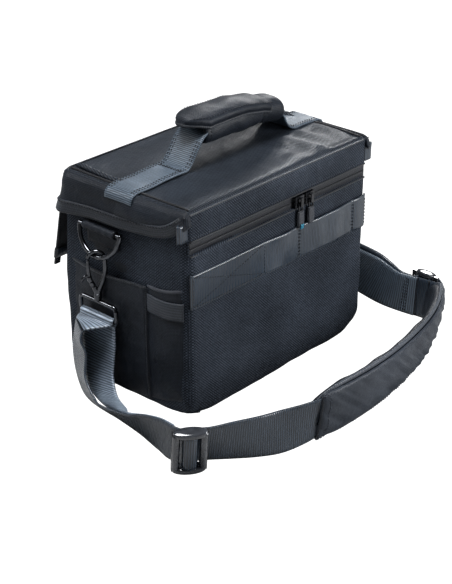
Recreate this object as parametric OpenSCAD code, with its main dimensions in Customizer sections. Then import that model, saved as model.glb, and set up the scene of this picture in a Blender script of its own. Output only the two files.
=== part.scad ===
// Padded carry case for a small telescope: a boxy fabric tub with foam walls, a zipped lid that
// opens away from the wearer, a webbing hand grip and a detachable shoulder strap.
// Origin: centre of the flat bottom. +X runs to the right along the front, +Y to the rear, +Z up.

/* [Case] */
// Width of the tub along the front
case_w = 288; // [270:1:310]
// Depth of the tub from front to rear
case_d = 176; // [166:1:190]
// Height of the closed case without its handle
case_h = 238; // [232:1:246]
// Thickness of the outer fabric
fabric_t = 2; // [1.5:0.5:2.5]
// Thickness of the foam in the walls
foam_t = 7; // [5:1:9]
// Radius of the upright corners
corner_r = 10; // [6:1:14]
// Depth of the flat pocket in the front
front_pocket_d = 6; // [5:0.5:7]

/* [Lid] */
// Thickness of the padded lid panel
lid_t = 9; // [8:1:11]
// Height of the skirt that hangs from the lid
skirt_h = 39; // [34:1:44]
// Thickness of the skirt
skirt_t = 5; // [4:0.5:6]
// Radius of the skirt's lower front corner
skirt_corner_r = 27; // [20:1:30]

/* [Webbing] */
// Width of the handle and front webbing
web_w = 38; // [30:1:40]
// Thickness of the shoulder strap
strap_t = 2.2; // [1.6:0.2:2.6]
// Height of the shoulder pad
pad_w = 66; // [60:1:72]
// Thickness of the foam in the shoulder pad
pad_t = 9; // [6:1:10]

/* [Front zip] */
// Height of the front zip above the ground
front_zip_z = 198.5; // [196:0.5:201]
// Height of the visible zip tape
zip_w = 15; // [12:1:18]
// Place of the left slider along the front
slider_x = 25; // [0:1:30]
// Distance between the two sliders
slider_gap = 17; // [16.5:0.5:24]

/* [Rings and hooks] */
// Place of the rings from front to rear
ring_y = 28; // [20:1:34]
// Height of the bar of each ring
ring_z = 190; // [186:1:192]
// Radius of the ring wire
wire_r = 2.5; // [2:0.1:3]
// Radius of the bow of each ring
bow_r = 29.5; // [28:0.5:31]
// Outward lean of the hanging rings
ring_lean = 12.7; // [10:0.1:15]

/* [Hidden] */
$fn = 48;

// Derived heights and faces of the tub and the lid.
half_w = case_w / 2;
half_d = case_d / 2;
seam_gap = 0.2;
lid_z = case_h - lid_t;
tub_h = lid_z - 1;
shell_front_y = -half_d + front_pocket_d + fabric_t;
wall_w = half_w - fabric_t;
wall_front_y = shell_front_y + fabric_t;
wall_rear_y = half_d - fabric_t;
board_t = 3;
base_pad_t = 6;
lining_t = 1;
board_z = fabric_t + seam_gap;
pad_z = board_z + board_t + seam_gap;
lining_z = pad_z + base_pad_t + seam_gap;
floor_z = lining_z + lining_t;
foam_top = tub_h - 6;
divider_t = 8;
divider_x = 46;
divider_h = 178;
zip_low = front_zip_z - zip_w / 2;
zip_high = front_zip_z + zip_w / 2;
skirt_in = half_w + 2;
skirt_out = skirt_in + skirt_t;
skirt_low = case_h - skirt_h;
rear_skirt_y = half_d + 1;
side_front_y = -half_d + 8;
side_rear_y = rear_skirt_y + skirt_t;
binding_w = 12;
binding_t = 1.2;
front_web_low = 133;

// Side pockets, patches and hardware on the ends; drawn for the left end and mirrored.
pocket_low = 8;
pocket_hem_z = 139;
gusset_low = 20;
gusset_high = 146;
gusset_t = 1.6;
side_band_low = 113;
side_band_w = 20;
side_band_t = 1.4;
tab_out = 17;
tab_low = 208;
tab_high = 227.5;
roll_len = 46;
pocket_in = half_w + 5.2;
pocket_t = 1.4;
fold_y = -32;
patch_t = 3.6;
patch_w = 78;
patch_low = 148;
ring_x = half_w + 9.5;
roll_r = 4.5;
bore_gap = 0.05;
hook_x = ring_x + bow_r * sin(ring_lean);
hook_turn = -48;
hook_t = 5;
eye_r = 7.4;
eye_rim = 3.6;
eye_z = ring_z - bow_r * cos(ring_lean) + wire_r + 2.1 - eye_r;
eye_low = eye_z - 14.7;
shank_low = 116;
shank_r = 4;
pivot = [-8, eye_low - 5.5];
pin_r = 1;
gate_t = 2.4;
gate_slot = 3;
gate_top = eye_z - 2;
base_low = 89.5;
base_high = 112;
base_out = 29;
base_in = 25.3;
base_t = 4.4;

// Hand grip.
grip_z = 276;
grip_x0 = -38;
grip_x1 = 82;
grip_w = 44;
grip_h = 28;
flap_t = 3;
flap_gap = 0.6;
flap_x0 = -58;
web_t = 2.4;
handle_top = case_h + web_t;
handle_line = [[-skirt_out, handle_top - web_t / 2], [-72, handle_top - web_t / 2], [-60, 250],
    [-50, 267], [grip_x0 - 3, grip_z], [grip_x1 + 3, grip_z], [grip_x1 + 9, 264], [96, 250],
    [104, handle_top - web_t / 2], [skirt_out, handle_top - web_t / 2]];

// Main zip tail at each rear corner and its slider.
tail_top = [half_w - 6, half_d + 3.5, skirt_low - 1.5];
tail_lean = 11.5;
tail_len = 66;
tail_w = 22;
tail_t = 2;
slider_from_end = 12;

// Zip sliders and pulls.
slider_len = 14;
slider_w = 12;
plate_t = 4.6;
bridge_y = 7;
bridge_t = 1.4;
crossbar_y = 5.8;
crossbar_z = -2.4;

// Shoulder strap: each station is [lower edge, upper edge]; the strap runs from the left hook
// round the front of the case to the right hook, standing on its edge on the ground.
strap_left_path = [
    [[-161, 62, 78], [-186, 26, 85]],
    [[-163, 64, 62], [-190, 24, 75]],
    [[-165, 65, 44], [-191, 25, 61]],
    [[-169, 57, 18], [-199, 22, 40]],
    [[-178, 36, 3], [-207, 2, 27]],
    [[-185, 6, 1], [-213, -27, 27]],
    [[-189, -30, 1], [-214, -62, 32]],
    [[-194, -64, 1], [-213, -88, 41]],
    [[-202, -96, 1], [-213, -112, 46]],
    [[-209, -118, 2], [-217, -132, 49]],
    [[-210, -132, 4], [-218, -146, 51]]];
strap_return_left_path = [
    [[-160, 52, 86], [-160, 4, 86]],
    [[-160, 53, 64], [-161, 3, 64]],
    [[-161, 53, 42], [-164, 3, 45]],
    [[-164, 48, 22], [-169, 0, 30]],
    [[-172, 32, 7], [-179, -16, 19]],
    [[-181, 4, 3], [-191, -42, 20]]];
strap_front_path = [
    [[-200, -142, 4], [-208, -155, 51]],
    [[-186, -151, 3], [-194, -164, 50]],
    [[-168, -165, 2], [-174, -175, 51]],
    [[-147, -182, 1], [-150, -187, 51]],
    [[-125, -196, 1], [-125, -196, 51]],
    [[-102, -205, 4], [-102.8, -209, 53.5]],
    [[-77, -210.7, 8.2], [-78.5, -220.4, 57.2]],
    [[-48, -214, 8.4], [-49, -224, 57.4]],
    [[-15, -215, 8.4], [-15, -225, 57.4]],
    [[20, -213.5, 8.4], [20.5, -223.5, 57.4]],
    [[55, -209, 8.4], [56.5, -219, 57.4]],
    [[90, -202, 8.4], [92.5, -212, 57.4]],
    [[122, -193.5, 8.4], [125.5, -203, 57.4]],
    [[152, -182, 8.4], [156.5, -190.5, 57.4]],
    [[178, -168, 8.4], [183.5, -175, 57.4]],
    [[197, -153, 7], [203, -158, 56.5]],
    [[208, -138, 3], [212, -141, 52.5]],
    [[211, -122, 1], [213, -123, 51]]];
strap_right_path = [
    [[210, -112, 1], [212, -114, 51]],
    [[207, -92, 3], [211, -98, 52]],
    [[204, -70, 8], [216, -82, 55]],
    [[199, -46, 18], [217, -68, 59]],
    [[188, -14, 34], [205, -50, 64]],
    [[175, 20, 56], [187, -25, 74]],
    [[167, 42, 72], [175, -6, 82]],
    [[163, 52, 85], [163, 4, 85]]];
strap_return_right_path = [
    [[197, -76, 6], [206, -88, 53]],
    [[192, -46, 16], [208, -70, 57]],
    [[180, -14, 32], [195, -50, 62]],
    [[166, 20, 54], [176, -26, 72]],
    [[158, 44, 70], [165, -5, 80]],
    [[156.5, 53, 86], [156.5, 4, 86]]];
pad_first = 6;
pad_last = 15;
pad_clear = 0.6;
sleeve_t = 2;
adjuster_h = 56;
adjuster_w = 36;
adjuster_t = 4;
adjuster_left_at = [-215.5, -154.5, 29.2];
adjuster_left_turn = -39;
adjuster_left_lean = 17;
adjuster_right_at = [217.8, -129, 28.5];
adjuster_right_turn = 88;

// One solid band along a list of [lower edge, upper edge] stations.
function unit(v) = v / norm(v);
function middle(s) = (s[0] + s[1]) / 2;
function before(s, i) = middle(s[max(i - 1, 0)]);
function after(s, i) = middle(s[min(i + 1, len(s) - 1)]);
function across(s, i) = unit(cross(after(s, i) - before(s, i), s[i][1] - s[i][0]));
function band_points(s, t) = [for (i = [0 : len(s) - 1])
    let (n = across(s, i) * t / 2)
    each [s[i][0] - n, s[i][1] - n, s[i][1] + n, s[i][0] + n]];
function band_faces(n) = concat([[0, 1, 2], [0, 2, 3]],
    [for (i = [0 : n - 2], k = [0 : 3])
        let (a = 4 * i + k, b = 4 * i + (k + 1) % 4)
        each [[a, a + 4, b], [b, a + 4, b + 4]]],
    [[4 * n - 4, 4 * n - 2, 4 * n - 3], [4 * n - 4, 4 * n - 1, 4 * n - 2]]);
module band(stations, t)
    polyhedron(band_points(stations, t), band_faces(len(stations)), convexity = 6);

// A wall that follows a flat line of points, between two distances from the line.
function line_normal(p, i) =
    let (d = p[min(i + 1, len(p) - 1)] - p[max(i - 1, 0)])
    [-d[1], d[0]] / norm(d);
function shifted(p, d) = [for (i = [0 : len(p) - 1]) p[i] + d * line_normal(p, i)];
function backwards(p) = [for (i = [len(p) - 1 : -1 : 0]) p[i]];
module wall_shape(p, near, far)
    polygon(concat(shifted(p, near), backwards(shifted(p, far))));

// Rectangle from corner to corner, and one with all corners rounded.
module rect(x0, y0, x1, y1)
    translate([x0, y0]) square([x1 - x0, y1 - y0]);
module round_rect(x0, y0, x1, y1, r) {
    rect(x0 + r, y0, x1 - r, y1);
    rect(x0, y0 + r, x1, y1 - r);
    for (x = [x0 + r, x1 - r], y = [y0 + r, y1 - r])
        translate([x, y]) circle(r);
}
module block(low, high)
    translate(low) cube(high - low);

// Draws its children on the left end, or mirrored on the right end.
module on_left() children();
module on_right() mirror([1, 0, 0]) children();

// ---- Tub ----
module tub_outline()
    intersection() {
        round_rect(-half_w, -half_d, half_w, half_d, corner_r);
        rect(-half_w, shell_front_y, half_w, half_d);
    }
module front_outline()
    intersection() {
        round_rect(-half_w, -half_d, half_w, half_d, corner_r);
        rect(-half_w, -half_d, half_w, shell_front_y);
    }
module shell()
    color([0.07, 0.08, 0.09]) difference() {
        linear_extrude(tub_h) tub_outline();
        block([-wall_w, wall_front_y, fabric_t], [wall_w, wall_rear_y, tub_h + 1]);
    }
module front_panel()
    color([0.09, 0.10, 0.11]) difference() {
        linear_extrude(zip_low) front_outline();
        block([-wall_w, -half_d + fabric_t, fabric_t], [wall_w, shell_front_y + 1, zip_low + 1]);
    }
module front_band()
    color([0.10, 0.11, 0.12]) translate([0, 0, zip_high]) difference() {
        linear_extrude(tub_h - zip_high) front_outline();
        block([-wall_w, -half_d + fabric_t, -1],
            [wall_w, shell_front_y + 1, tub_h - zip_high - fabric_t]);
    }
module front_zip_tape()
    color([0.05, 0.05, 0.06]) block([-half_w + 2, -half_d + 0.6, zip_low],
        [half_w - 2, -half_d + 2.2, zip_high]);
module front_webbing()
    color([0.16, 0.19, 0.22]) block([-half_w + 2, -half_d - web_t, front_web_low],
        [half_w - 2, -half_d, front_web_low + web_w]);

// ---- Padding ----
module foam_walls()
    color([0.20, 0.20, 0.21]) difference() {
        block([-wall_w + seam_gap, wall_front_y + seam_gap, lining_z],
            [wall_w - seam_gap, wall_rear_y - seam_gap, foam_top]);
        block([-wall_w + foam_t, wall_front_y + foam_t, lining_z - 1],
            [wall_w - foam_t, wall_rear_y - foam_t, foam_top + 1]);
    }
module base_board()
    color([0.15, 0.14, 0.13]) block([-wall_w + 1, wall_front_y + 1, board_z],
        [wall_w - 1, wall_rear_y - 1, board_z + board_t]);
module base_pad()
    color([0.22, 0.22, 0.23]) block([-wall_w + 1, wall_front_y + 1, pad_z],
        [wall_w - 1, wall_rear_y - 1, pad_z + base_pad_t]);
module lining()
    color([0.35, 0.37, 0.40]) difference() {
        block([-wall_w + foam_t + seam_gap, wall_front_y + foam_t + seam_gap, lining_z],
            [wall_w - foam_t - seam_gap, wall_rear_y - foam_t - seam_gap, foam_top]);
        block([-wall_w + foam_t + lining_t, wall_front_y + foam_t + lining_t, floor_z],
            [wall_w - foam_t - lining_t, wall_rear_y - foam_t - lining_t, foam_top + 1]);
    }
module divider(x)
    color([0.30, 0.32, 0.35]) block(
        [x - divider_t / 2, wall_front_y + foam_t + lining_t + seam_gap, floor_z + seam_gap],
        [x + divider_t / 2, wall_rear_y - foam_t - lining_t - seam_gap, floor_z + divider_h]);
module divider_left() divider(-divider_x);
module divider_right() divider(divider_x);

// ---- Left end; the right end is its mirror image ----
module pocket_panel()
    color([0.09, 0.10, 0.11]) difference() {
        block([-pocket_in - pocket_t, fold_y, pocket_low],
            [-half_w, half_d - corner_r, pocket_hem_z]);
        block([-pocket_in, fold_y - 1, pocket_low + pocket_t],
            [-half_w + 1, half_d - corner_r - pocket_t, pocket_hem_z + 1]);
    }
module pocket_gusset()
    color([0.08, 0.09, 0.10]) translate([0, 0, gusset_low])
        linear_extrude(gusset_high - gusset_low)
            polygon([[-half_w, -half_d + corner_r], [-half_w - gusset_t, -half_d + corner_r],
                [-half_w - gusset_t, fold_y - 6], [-pocket_in + 0.6, fold_y - 0.6],
                [-half_w - 2 * gusset_t, fold_y - 0.6], [-half_w, fold_y - 4.5]]);
module side_band()
    color([0.12, 0.14, 0.16]) block([-half_w - gusset_t - side_band_t, -half_d + corner_r,
        side_band_low], [-half_w - gusset_t, fold_y - 7, side_band_low + side_band_w]);
module ring_patch()
    color([0.10, 0.11, 0.12]) block([-half_w - patch_t, ring_y - patch_w / 2, patch_low],
        [-half_w, ring_y + patch_w / 2, skirt_low - 1]);
module ring_roll()
    color([0.13, 0.14, 0.16]) difference() {
        union() {
            translate([-ring_x, ring_y, ring_z]) rotate([90, 0, 0])
                cylinder(r = roll_r, h = roll_len, center = true);
            block([-half_w - patch_t - 1.6, ring_y - roll_len / 2, ring_z - 12],
                [-half_w - patch_t, ring_y + roll_len / 2, ring_z + 2]);
            block([-ring_x, ring_y - roll_len / 2, ring_z - 2],
                [-half_w - patch_t, ring_y + roll_len / 2, ring_z + 2]);
        }
        translate([-ring_x, ring_y, ring_z]) rotate([90, 0, 0])
            cylinder(r = wire_r + bore_gap, h = roll_len + 4, center = true);
    }
module corner_tab()
    color([0.15, 0.18, 0.21]) difference() {
        block([-half_w - tab_out, -half_d + 0.5, tab_low], [-half_w, -half_d + 5.5, tab_high]);
        block([-half_w - tab_out + 2.5, -half_d + 2.2, tab_low - 1],
            [-half_w - 1, -half_d + 3.8, tab_high + 0.5]);
    }
module zip_tail()
    color([0.08, 0.08, 0.09]) translate([-tail_top[0], tail_top[1], tail_top[2]])
        rotate([tail_lean, 0, 0])
            block([-tail_w / 2, -tail_t / 2, -tail_len], [tail_w / 2, tail_t / 2, 0]);
module main_zip_tape()
    color([0.06, 0.06, 0.07]) block([-half_w + 18, half_d, skirt_low - 15],
        [half_w - 18, half_d + 1.6, skirt_low - 1]);

// The ring hangs from its bar; the bow leans out because the hook's eye passes behind it.
module ring()
    color([0.35, 0.36, 0.38]) translate([-ring_x, ring_y, ring_z]) rotate([0, ring_lean, 0]) {
        rotate([90, 0, 0]) cylinder(r = wire_r, h = 2 * bow_r, center = true);
        rotate([90, 0, 90]) rotate_extrude(angle = -180) translate([bow_r, 0]) circle(wire_r);
        for (y = [-bow_r, bow_r])
            translate([0, y, 0]) sphere(wire_r);
    }
module at_hook()
    translate([-hook_x, ring_y, 0]) rotate([0, 0, hook_turn]) children();
module hook_plate(t)
    rotate([90, 0, 0]) linear_extrude(t, center = true) children();
module hook_shape()
    difference() {
        union() {
            translate([0, eye_z]) circle(eye_r + eye_rim);
            rect(-eye_r - eye_rim, eye_low, eye_r + eye_rim, eye_z);
            polygon([[-eye_r - eye_rim, eye_low], [-10.8, eye_low - 6], [-5, eye_low - 16],
                [-shank_r, shank_low], [shank_r, shank_low], [5, eye_low - 16],
                [9, eye_low - 8], [eye_r + eye_rim, eye_low]]);
        }
        translate([0, eye_z]) circle(eye_r);
        translate([0, eye_low]) circle(eye_r);
        rect(-eye_r, eye_low, eye_r, eye_z);
        rect(-eye_r - eye_rim - 1, eye_low + 1.5, 0, gate_top + 1);
    }
module hook()
    color([0.33, 0.34, 0.36]) at_hook() {
        difference() {
            hook_plate(hook_t) hook_shape();
            hook_plate(gate_slot) {
                translate(pivot) circle(5);
                rect(-20, pivot[1] - 5, pivot[0] + 1, eye_low + 2);
            }
        }
        translate([pivot[0], 0, pivot[1]]) rotate([90, 0, 0])
            cylinder(r = pin_r, h = hook_t - 0.4, center = true);
        translate([0, 0, base_high - base_t - 2]) cylinder(r = 2, h = shank_low - base_high + base_t + 3);
        translate([0, 0, base_high - base_t - 2.6]) cylinder(r = 3.4, h = 2);
    }
module gate()
    color([0.40, 0.41, 0.43]) at_hook() difference() {
        hook_plate(gate_t) difference() {
            union() {
                translate(pivot) circle(3);
                polygon([[pivot[0] - 3, pivot[1]], [pivot[0] + 3, pivot[1]],
                    [-eye_r - 0.2, gate_top], [-eye_r - eye_rim + 0.4, gate_top]]);
                polygon([[pivot[0] - 2, pivot[1] + 2], [-15, pivot[1] - 1],
                    [-16, pivot[1] - 4.5], [pivot[0] - 1, pivot[1] - 2.6]]);
            }
            translate(pivot) circle(pin_r + bore_gap);
        }
    }
module hook_base()
    color([0.36, 0.37, 0.39]) translate([-hook_x, ring_y, 0]) difference() {
        block([-base_t / 2, -base_out, base_low], [base_t / 2, base_out, base_high]);
        block([-base_t, -base_in, base_low + base_t], [base_t, base_in, base_high - base_t]);
        translate([0, 0, base_high - base_t - 1])
            cylinder(r = 2 + bore_gap, h = base_t + 2);
    }

// ---- Lid ----
module lid_top()
    color([0.10, 0.11, 0.12]) block([-skirt_in, -half_d, lid_z + 3],
        [skirt_in, rear_skirt_y, case_h]);
module lid_lining()
    color([0.35, 0.37, 0.40]) block([-half_w, -half_d + 1, lid_z], [half_w, half_d, lid_z + 3]);
module skirt_shape(front)
    intersection() {
        rect(front, skirt_low, side_rear_y, case_h);
        union() {
            rect(front + skirt_corner_r, skirt_low, side_rear_y, case_h);
            rect(front, skirt_low + skirt_corner_r, side_rear_y, case_h);
            translate([front + skirt_corner_r, skirt_low + skirt_corner_r])
                circle(skirt_corner_r);
        }
    }
module end_plate(x0, x1)
    translate([x0, 0, 0]) rotate([90, 0, 90]) linear_extrude(x1 - x0) children();
module skirt()
    color([0.11, 0.12, 0.13]) end_plate(-skirt_out, -skirt_in) skirt_shape(side_front_y);
module binding()
    color([0.15, 0.16, 0.18]) end_plate(-skirt_out - binding_t, -skirt_out) difference() {
        skirt_shape(side_front_y);
        translate([binding_w, binding_w]) skirt_shape(side_front_y);
        rect(side_front_y - 1, case_h - 8, side_rear_y + 1, case_h + 1);
    }
module skirt_rear()
    color([0.11, 0.12, 0.13]) block([-skirt_in, rear_skirt_y, skirt_low],
        [skirt_in, side_rear_y, case_h]);
module handle_webbing()
    color([0.20, 0.24, 0.28]) rotate([90, 0, 0]) linear_extrude(web_w, center = true)
        wall_shape(handle_line, -web_t / 2, web_t / 2);
module pill(w, h) {
    square([w - h, h], center = true);
    for (x = [-1, 1])
        translate([x * (w - h) / 2, 0]) circle(h / 2);
}
module along_grip(x0, x1)
    translate([x0, 0, grip_z]) rotate([90, 0, 90]) linear_extrude(x1 - x0) children();
module handle_grip()
    color([0.10, 0.11, 0.12]) along_grip(grip_x0, grip_x1) difference() {
        pill(grip_w, grip_h);
        square([web_w + 1, web_t + 1], center = true);
    }
module grip_flap()
    color([0.12, 0.13, 0.14]) along_grip(flap_x0, grip_x1 - 2) intersection() {
        difference() {
            pill(grip_w + 2 * (flap_gap + flap_t), grip_h + 2 * (flap_gap + flap_t));
            pill(grip_w + 2 * flap_gap, grip_h + 2 * flap_gap);
        }
        rect(-grip_w, -3, grip_w, grip_h);
    }

// ---- Zip sliders and pulls ----
// A slider lies on its tape in the plane y = 0 and faces -Y. Its bridge is an arch over a gap,
// and the pull's crossbar turns in that gap.
module slider_body(w, h)
    color([0.10, 0.10, 0.11]) {
        block([-w / 2, -plate_t, -h / 2], [w / 2, 0, h / 2]);
        block([-2, -bridge_y - bridge_t, -5], [2, -bridge_y, 5]);
        for (z = [-5, 5 - bridge_t])
            block([-2, -bridge_y - bridge_t, z], [2, -plate_t, z + bridge_t]);
    }
module pull_body()
    color([0.25, 0.26, 0.28]) translate([0, -crossbar_y, crossbar_z]) {
        rotate([0, 90, 0]) cylinder(r = 0.8, h = 6, center = true);
        for (x = [-1, 1])
            translate([x * 3.1, 0, -3.2]) cube([1.2, 1.4, 8.4], center = true);
        block([-3.7, -1.2, -25.6], [3.7, 0.8, -7]);
    }
module on_front_zip(x)
    translate([x, -half_d + 0.6, front_zip_z]) children();
module on_tail()
    translate([-tail_top[0], tail_top[1], tail_top[2]]) rotate([tail_lean, 0, 0])
        translate([0, tail_t / 2 + 0.3, slider_from_end - tail_len]) rotate([0, 0, 180])
            children();
module front_slider(x) on_front_zip(x) slider_body(slider_len, slider_w);
module front_pull(x) on_front_zip(x) pull_body();
module main_slider() on_tail() slider_body(slider_w, slider_len);
module main_pull() on_tail() pull_body();

// ---- Shoulder strap ----
// The pad's layers follow the strap: wider than the strap, and set off from it along its normal.
function pad_layer(offset) = [for (i = [pad_first : pad_last])
    let (s = strap_front_path[i], up = unit(s[1] - s[0]) * pad_w / 2,
        out = across(strap_front_path, i) * offset)
    [middle(s) - up + out, middle(s) + up + out]];
module strap_left() color([0.15, 0.17, 0.20]) band(strap_left_path, strap_t);
module strap_return_left() color([0.30, 0.35, 0.40]) band(strap_return_left_path, strap_t);
module strap_front() color([0.15, 0.17, 0.20]) band(strap_front_path, strap_t);
module strap_right() color([0.15, 0.17, 0.20]) band(strap_right_path, strap_t);
module strap_return_right() color([0.15, 0.17, 0.20]) band(strap_return_right_path, strap_t);
module shoulder_pad()
    color([0.11, 0.12, 0.13])
        band(pad_layer(-(strap_t + pad_t) / 2 - pad_clear), pad_t);
module pad_sleeve()
    color([0.12, 0.13, 0.15])
        band(pad_layer((strap_t + sleeve_t) / 2 + pad_clear), sleeve_t);
module adjuster()
    difference() {
        cube([adjuster_w, adjuster_t, adjuster_h], center = true);
        for (x = [-1, 1])
            translate([x * 7.6, 0, 0])
                cube([8, adjuster_t + 1, adjuster_h - 2 * 2.6], center = true);
    }
module adjuster_left()
    color([0.08, 0.08, 0.09]) translate(adjuster_left_at) rotate([0, 0, adjuster_left_turn])
        rotate([adjuster_left_lean, 0, 0]) adjuster();
module adjuster_right()
    color([0.08, 0.08, 0.09]) translate(adjuster_right_at) rotate([0, 0, adjuster_right_turn])
        adjuster();

shell();
front_panel();
front_band();
front_zip_tape();
front_webbing();
foam_walls();
base_board();
base_pad();
lining();
divider_left();
divider_right();
on_left() pocket_panel();  // pocket_panel_left
on_right() pocket_panel();  // pocket_panel_right
on_left() pocket_gusset();  // pocket_gusset_left
on_right() pocket_gusset();  // pocket_gusset_right
on_left() side_band();  // side_band_left
on_right() side_band();  // side_band_right
on_left() ring_patch();  // ring_patch_left
on_right() ring_patch();  // ring_patch_right
on_left() ring_roll();  // ring_roll_left
on_right() ring_roll();  // ring_roll_right
on_left() corner_tab();  // corner_tab_left
on_right() corner_tab();  // corner_tab_right
main_zip_tape();
on_left() zip_tail();  // zip_tail_left
on_right() zip_tail();  // zip_tail_right
strap_left();
strap_return_left();
strap_front();
strap_right();
strap_return_right();
shoulder_pad();
pad_sleeve();
lid_top();
lid_lining();
on_left() skirt();  // skirt_left
on_right() skirt();  // skirt_right
skirt_rear();
on_left() binding();  // binding_left
on_right() binding();  // binding_right
handle_webbing();
handle_grip();
grip_flap();
front_slider(slider_x);  // front_slider_left
front_slider(slider_x + slider_gap);  // front_slider_right
front_pull(slider_x);  // front_pull_left
front_pull(slider_x + slider_gap);  // front_pull_right
main_slider();
main_pull();
on_left() ring();  // ring_left
on_right() ring();  // ring_right
on_left() hook();  // hook_left
on_right() hook();  // hook_right
on_left() gate();  // gate_left
on_right() gate();  // gate_right
on_left() hook_base();  // hook_base_left
on_right() hook_base();  // hook_base_right
adjuster_left();
adjuster_right();
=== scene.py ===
import math

import bmesh
import bpy
import numpy as np
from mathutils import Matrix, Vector, noise


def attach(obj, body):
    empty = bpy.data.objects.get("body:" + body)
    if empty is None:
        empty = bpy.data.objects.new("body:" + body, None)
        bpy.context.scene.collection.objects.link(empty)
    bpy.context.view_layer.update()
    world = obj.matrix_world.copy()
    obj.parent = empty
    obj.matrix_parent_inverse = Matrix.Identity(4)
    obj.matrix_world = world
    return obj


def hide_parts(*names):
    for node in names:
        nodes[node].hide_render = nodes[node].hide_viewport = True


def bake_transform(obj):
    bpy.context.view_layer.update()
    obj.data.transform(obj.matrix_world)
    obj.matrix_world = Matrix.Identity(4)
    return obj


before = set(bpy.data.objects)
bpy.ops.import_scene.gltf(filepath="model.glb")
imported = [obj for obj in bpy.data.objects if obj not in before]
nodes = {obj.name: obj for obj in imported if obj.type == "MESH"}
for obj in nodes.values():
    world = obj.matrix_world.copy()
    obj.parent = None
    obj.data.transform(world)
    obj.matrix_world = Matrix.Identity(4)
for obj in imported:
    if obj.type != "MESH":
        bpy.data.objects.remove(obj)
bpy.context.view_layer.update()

# ---- Camera, light and floor ----
# The case stands on a plain pale floor in a soft studio: a wide lamp above its left end, one
# in front to the right, one at each rear corner, and a dim pale sky all round.
scene = bpy.context.scene
scene.view_settings.view_transform = "Standard"
scene.view_settings.look = "Medium High Contrast"
lens = bpy.data.cameras.new("camera_lens")
lens.lens, lens.sensor_width = 91.64, 36.0
camera = bpy.data.objects.new("camera", lens)
scene.collection.objects.link(camera)
camera.location = (-1.10655, -1.00183, 0.82002)
camera.rotation_mode = "QUATERNION"
camera.rotation_quaternion = Vector((0.66510, 0.59666, -0.44904)).to_track_quat("-Z", "Y")
scene.camera = camera


def softbox(name, place, aim, size, power):
    lamp = bpy.data.lights.new(name, "AREA")
    lamp.shape, lamp.size, lamp.energy = "DISK", size, power
    holder = bpy.data.objects.new(name, lamp)
    scene.collection.objects.link(holder)
    holder.location = place
    holder.rotation_mode = "QUATERNION"
    holder.rotation_quaternion = (Vector(aim) - Vector(place)).to_track_quat("-Z", "Y")


softbox("lamp_above", (-0.5, 0.0, 2.2), (0, 0, 0.1), 1.0, 44)
softbox("lamp_rear_left", (-1.2, 1.6, 1.3), (0, 0, 0.15), 0.7, 11)
softbox("lamp_rear_right", (2.2, 1.2, 1.3), (0, 0, 0.15), 0.7, 22)
softbox("lamp_front", (1.2, -2.2, 0.9), (0, 0, 0.12), 1.0, 50)
sky = bpy.data.worlds.new("studio_sky")
scene.world = sky
sky.use_nodes = True
sky.node_tree.nodes["Background"].inputs["Color"].default_value = (0.98, 0.99, 1.0, 1)
sky.node_tree.nodes["Background"].inputs["Strength"].default_value = 0.15

floor_paint = bpy.data.materials.new("floor_paint")
floor_paint.use_nodes = True
paint = floor_paint.node_tree.nodes["Principled BSDF"]
paint.inputs["Base Color"].default_value = (0.42, 0.42, 0.42, 1)
paint.inputs["Roughness"].default_value = 0.9
glow = floor_paint.node_tree.nodes.new("ShaderNodeEmission")
rays = floor_paint.node_tree.nodes.new("ShaderNodeLightPath")
both = floor_paint.node_tree.nodes.new("ShaderNodeMixShader")
part_seen = floor_paint.node_tree.nodes.new("ShaderNodeMath")
part_seen.operation = "MULTIPLY"
part_seen.inputs[1].default_value = 0.86
floor_paint.node_tree.links.new(rays.outputs["Is Camera Ray"], part_seen.inputs[0])
floor_paint.node_tree.links.new(part_seen.outputs[0], both.inputs[0])
floor_paint.node_tree.links.new(paint.outputs[0], both.inputs[1])
floor_paint.node_tree.links.new(glow.outputs[0], both.inputs[2])
floor_paint.node_tree.links.new(both.outputs[0],
                                floor_paint.node_tree.nodes["Material Output"].inputs[0])
glow.inputs["Strength"].default_value = 1.18
floor_mesh = bpy.data.meshes.new("studio_floor")
floor_mesh.from_pydata([(-9, -9, -0.001), (9, -9, -0.001), (9, 9, -0.001), (-9, 9, -0.001)],
                       [], [(0, 1, 2, 3)])
floor_mesh.materials.append(floor_paint)
floor = bpy.data.objects.new("studio_floor", floor_mesh)
scene.collection.objects.link(floor)

# ---- Tub ----
# The open box of coarse black ballistic nylon: one wrap of cloth sewn at the front corners,
# stretched over foam walls, a little fuller at the middle of each side than at its seams.
# Sizes here and below are in millimetres from the case's origin.
HALF_W, HALF_D = 144.0, 88.0
TUB_TOP = 226.0
ZIP_LOW, ZIP_HIGH, ZIP_MID = 191.0, 206.0, 198.5
ZIP_RECESS, BAND_RECESS = 4.6, 4.2


def normals_of(grid, wrap=False):
    g = np.asarray(grid, float)
    if wrap:
        across = np.roll(g, -1, 1) - np.roll(g, 1, 1)
    else:
        across = np.gradient(g, axis=1)
    n = np.cross(across, np.gradient(g, axis=0))
    return n / np.maximum(np.linalg.norm(n, axis=2, keepdims=True), 1e-9)


def rumpled(grid, size, amount, seed, wrap=False, mask=None, stretch=(1, 1, 1)):
    g = np.asarray(grid, float)
    n = normals_of(g, wrap)
    shift = Vector((seed * 7.31, seed * 3.17, seed * 5.71))
    flat = g.reshape(-1, 3) / size / np.asarray(stretch, float)
    lift = np.array([noise.noise(Vector(p) + shift) for p in flat]).reshape(g.shape[:2])
    if mask is not None:
        lift = lift * mask
    return g + n * (lift * amount)[..., None]


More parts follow.
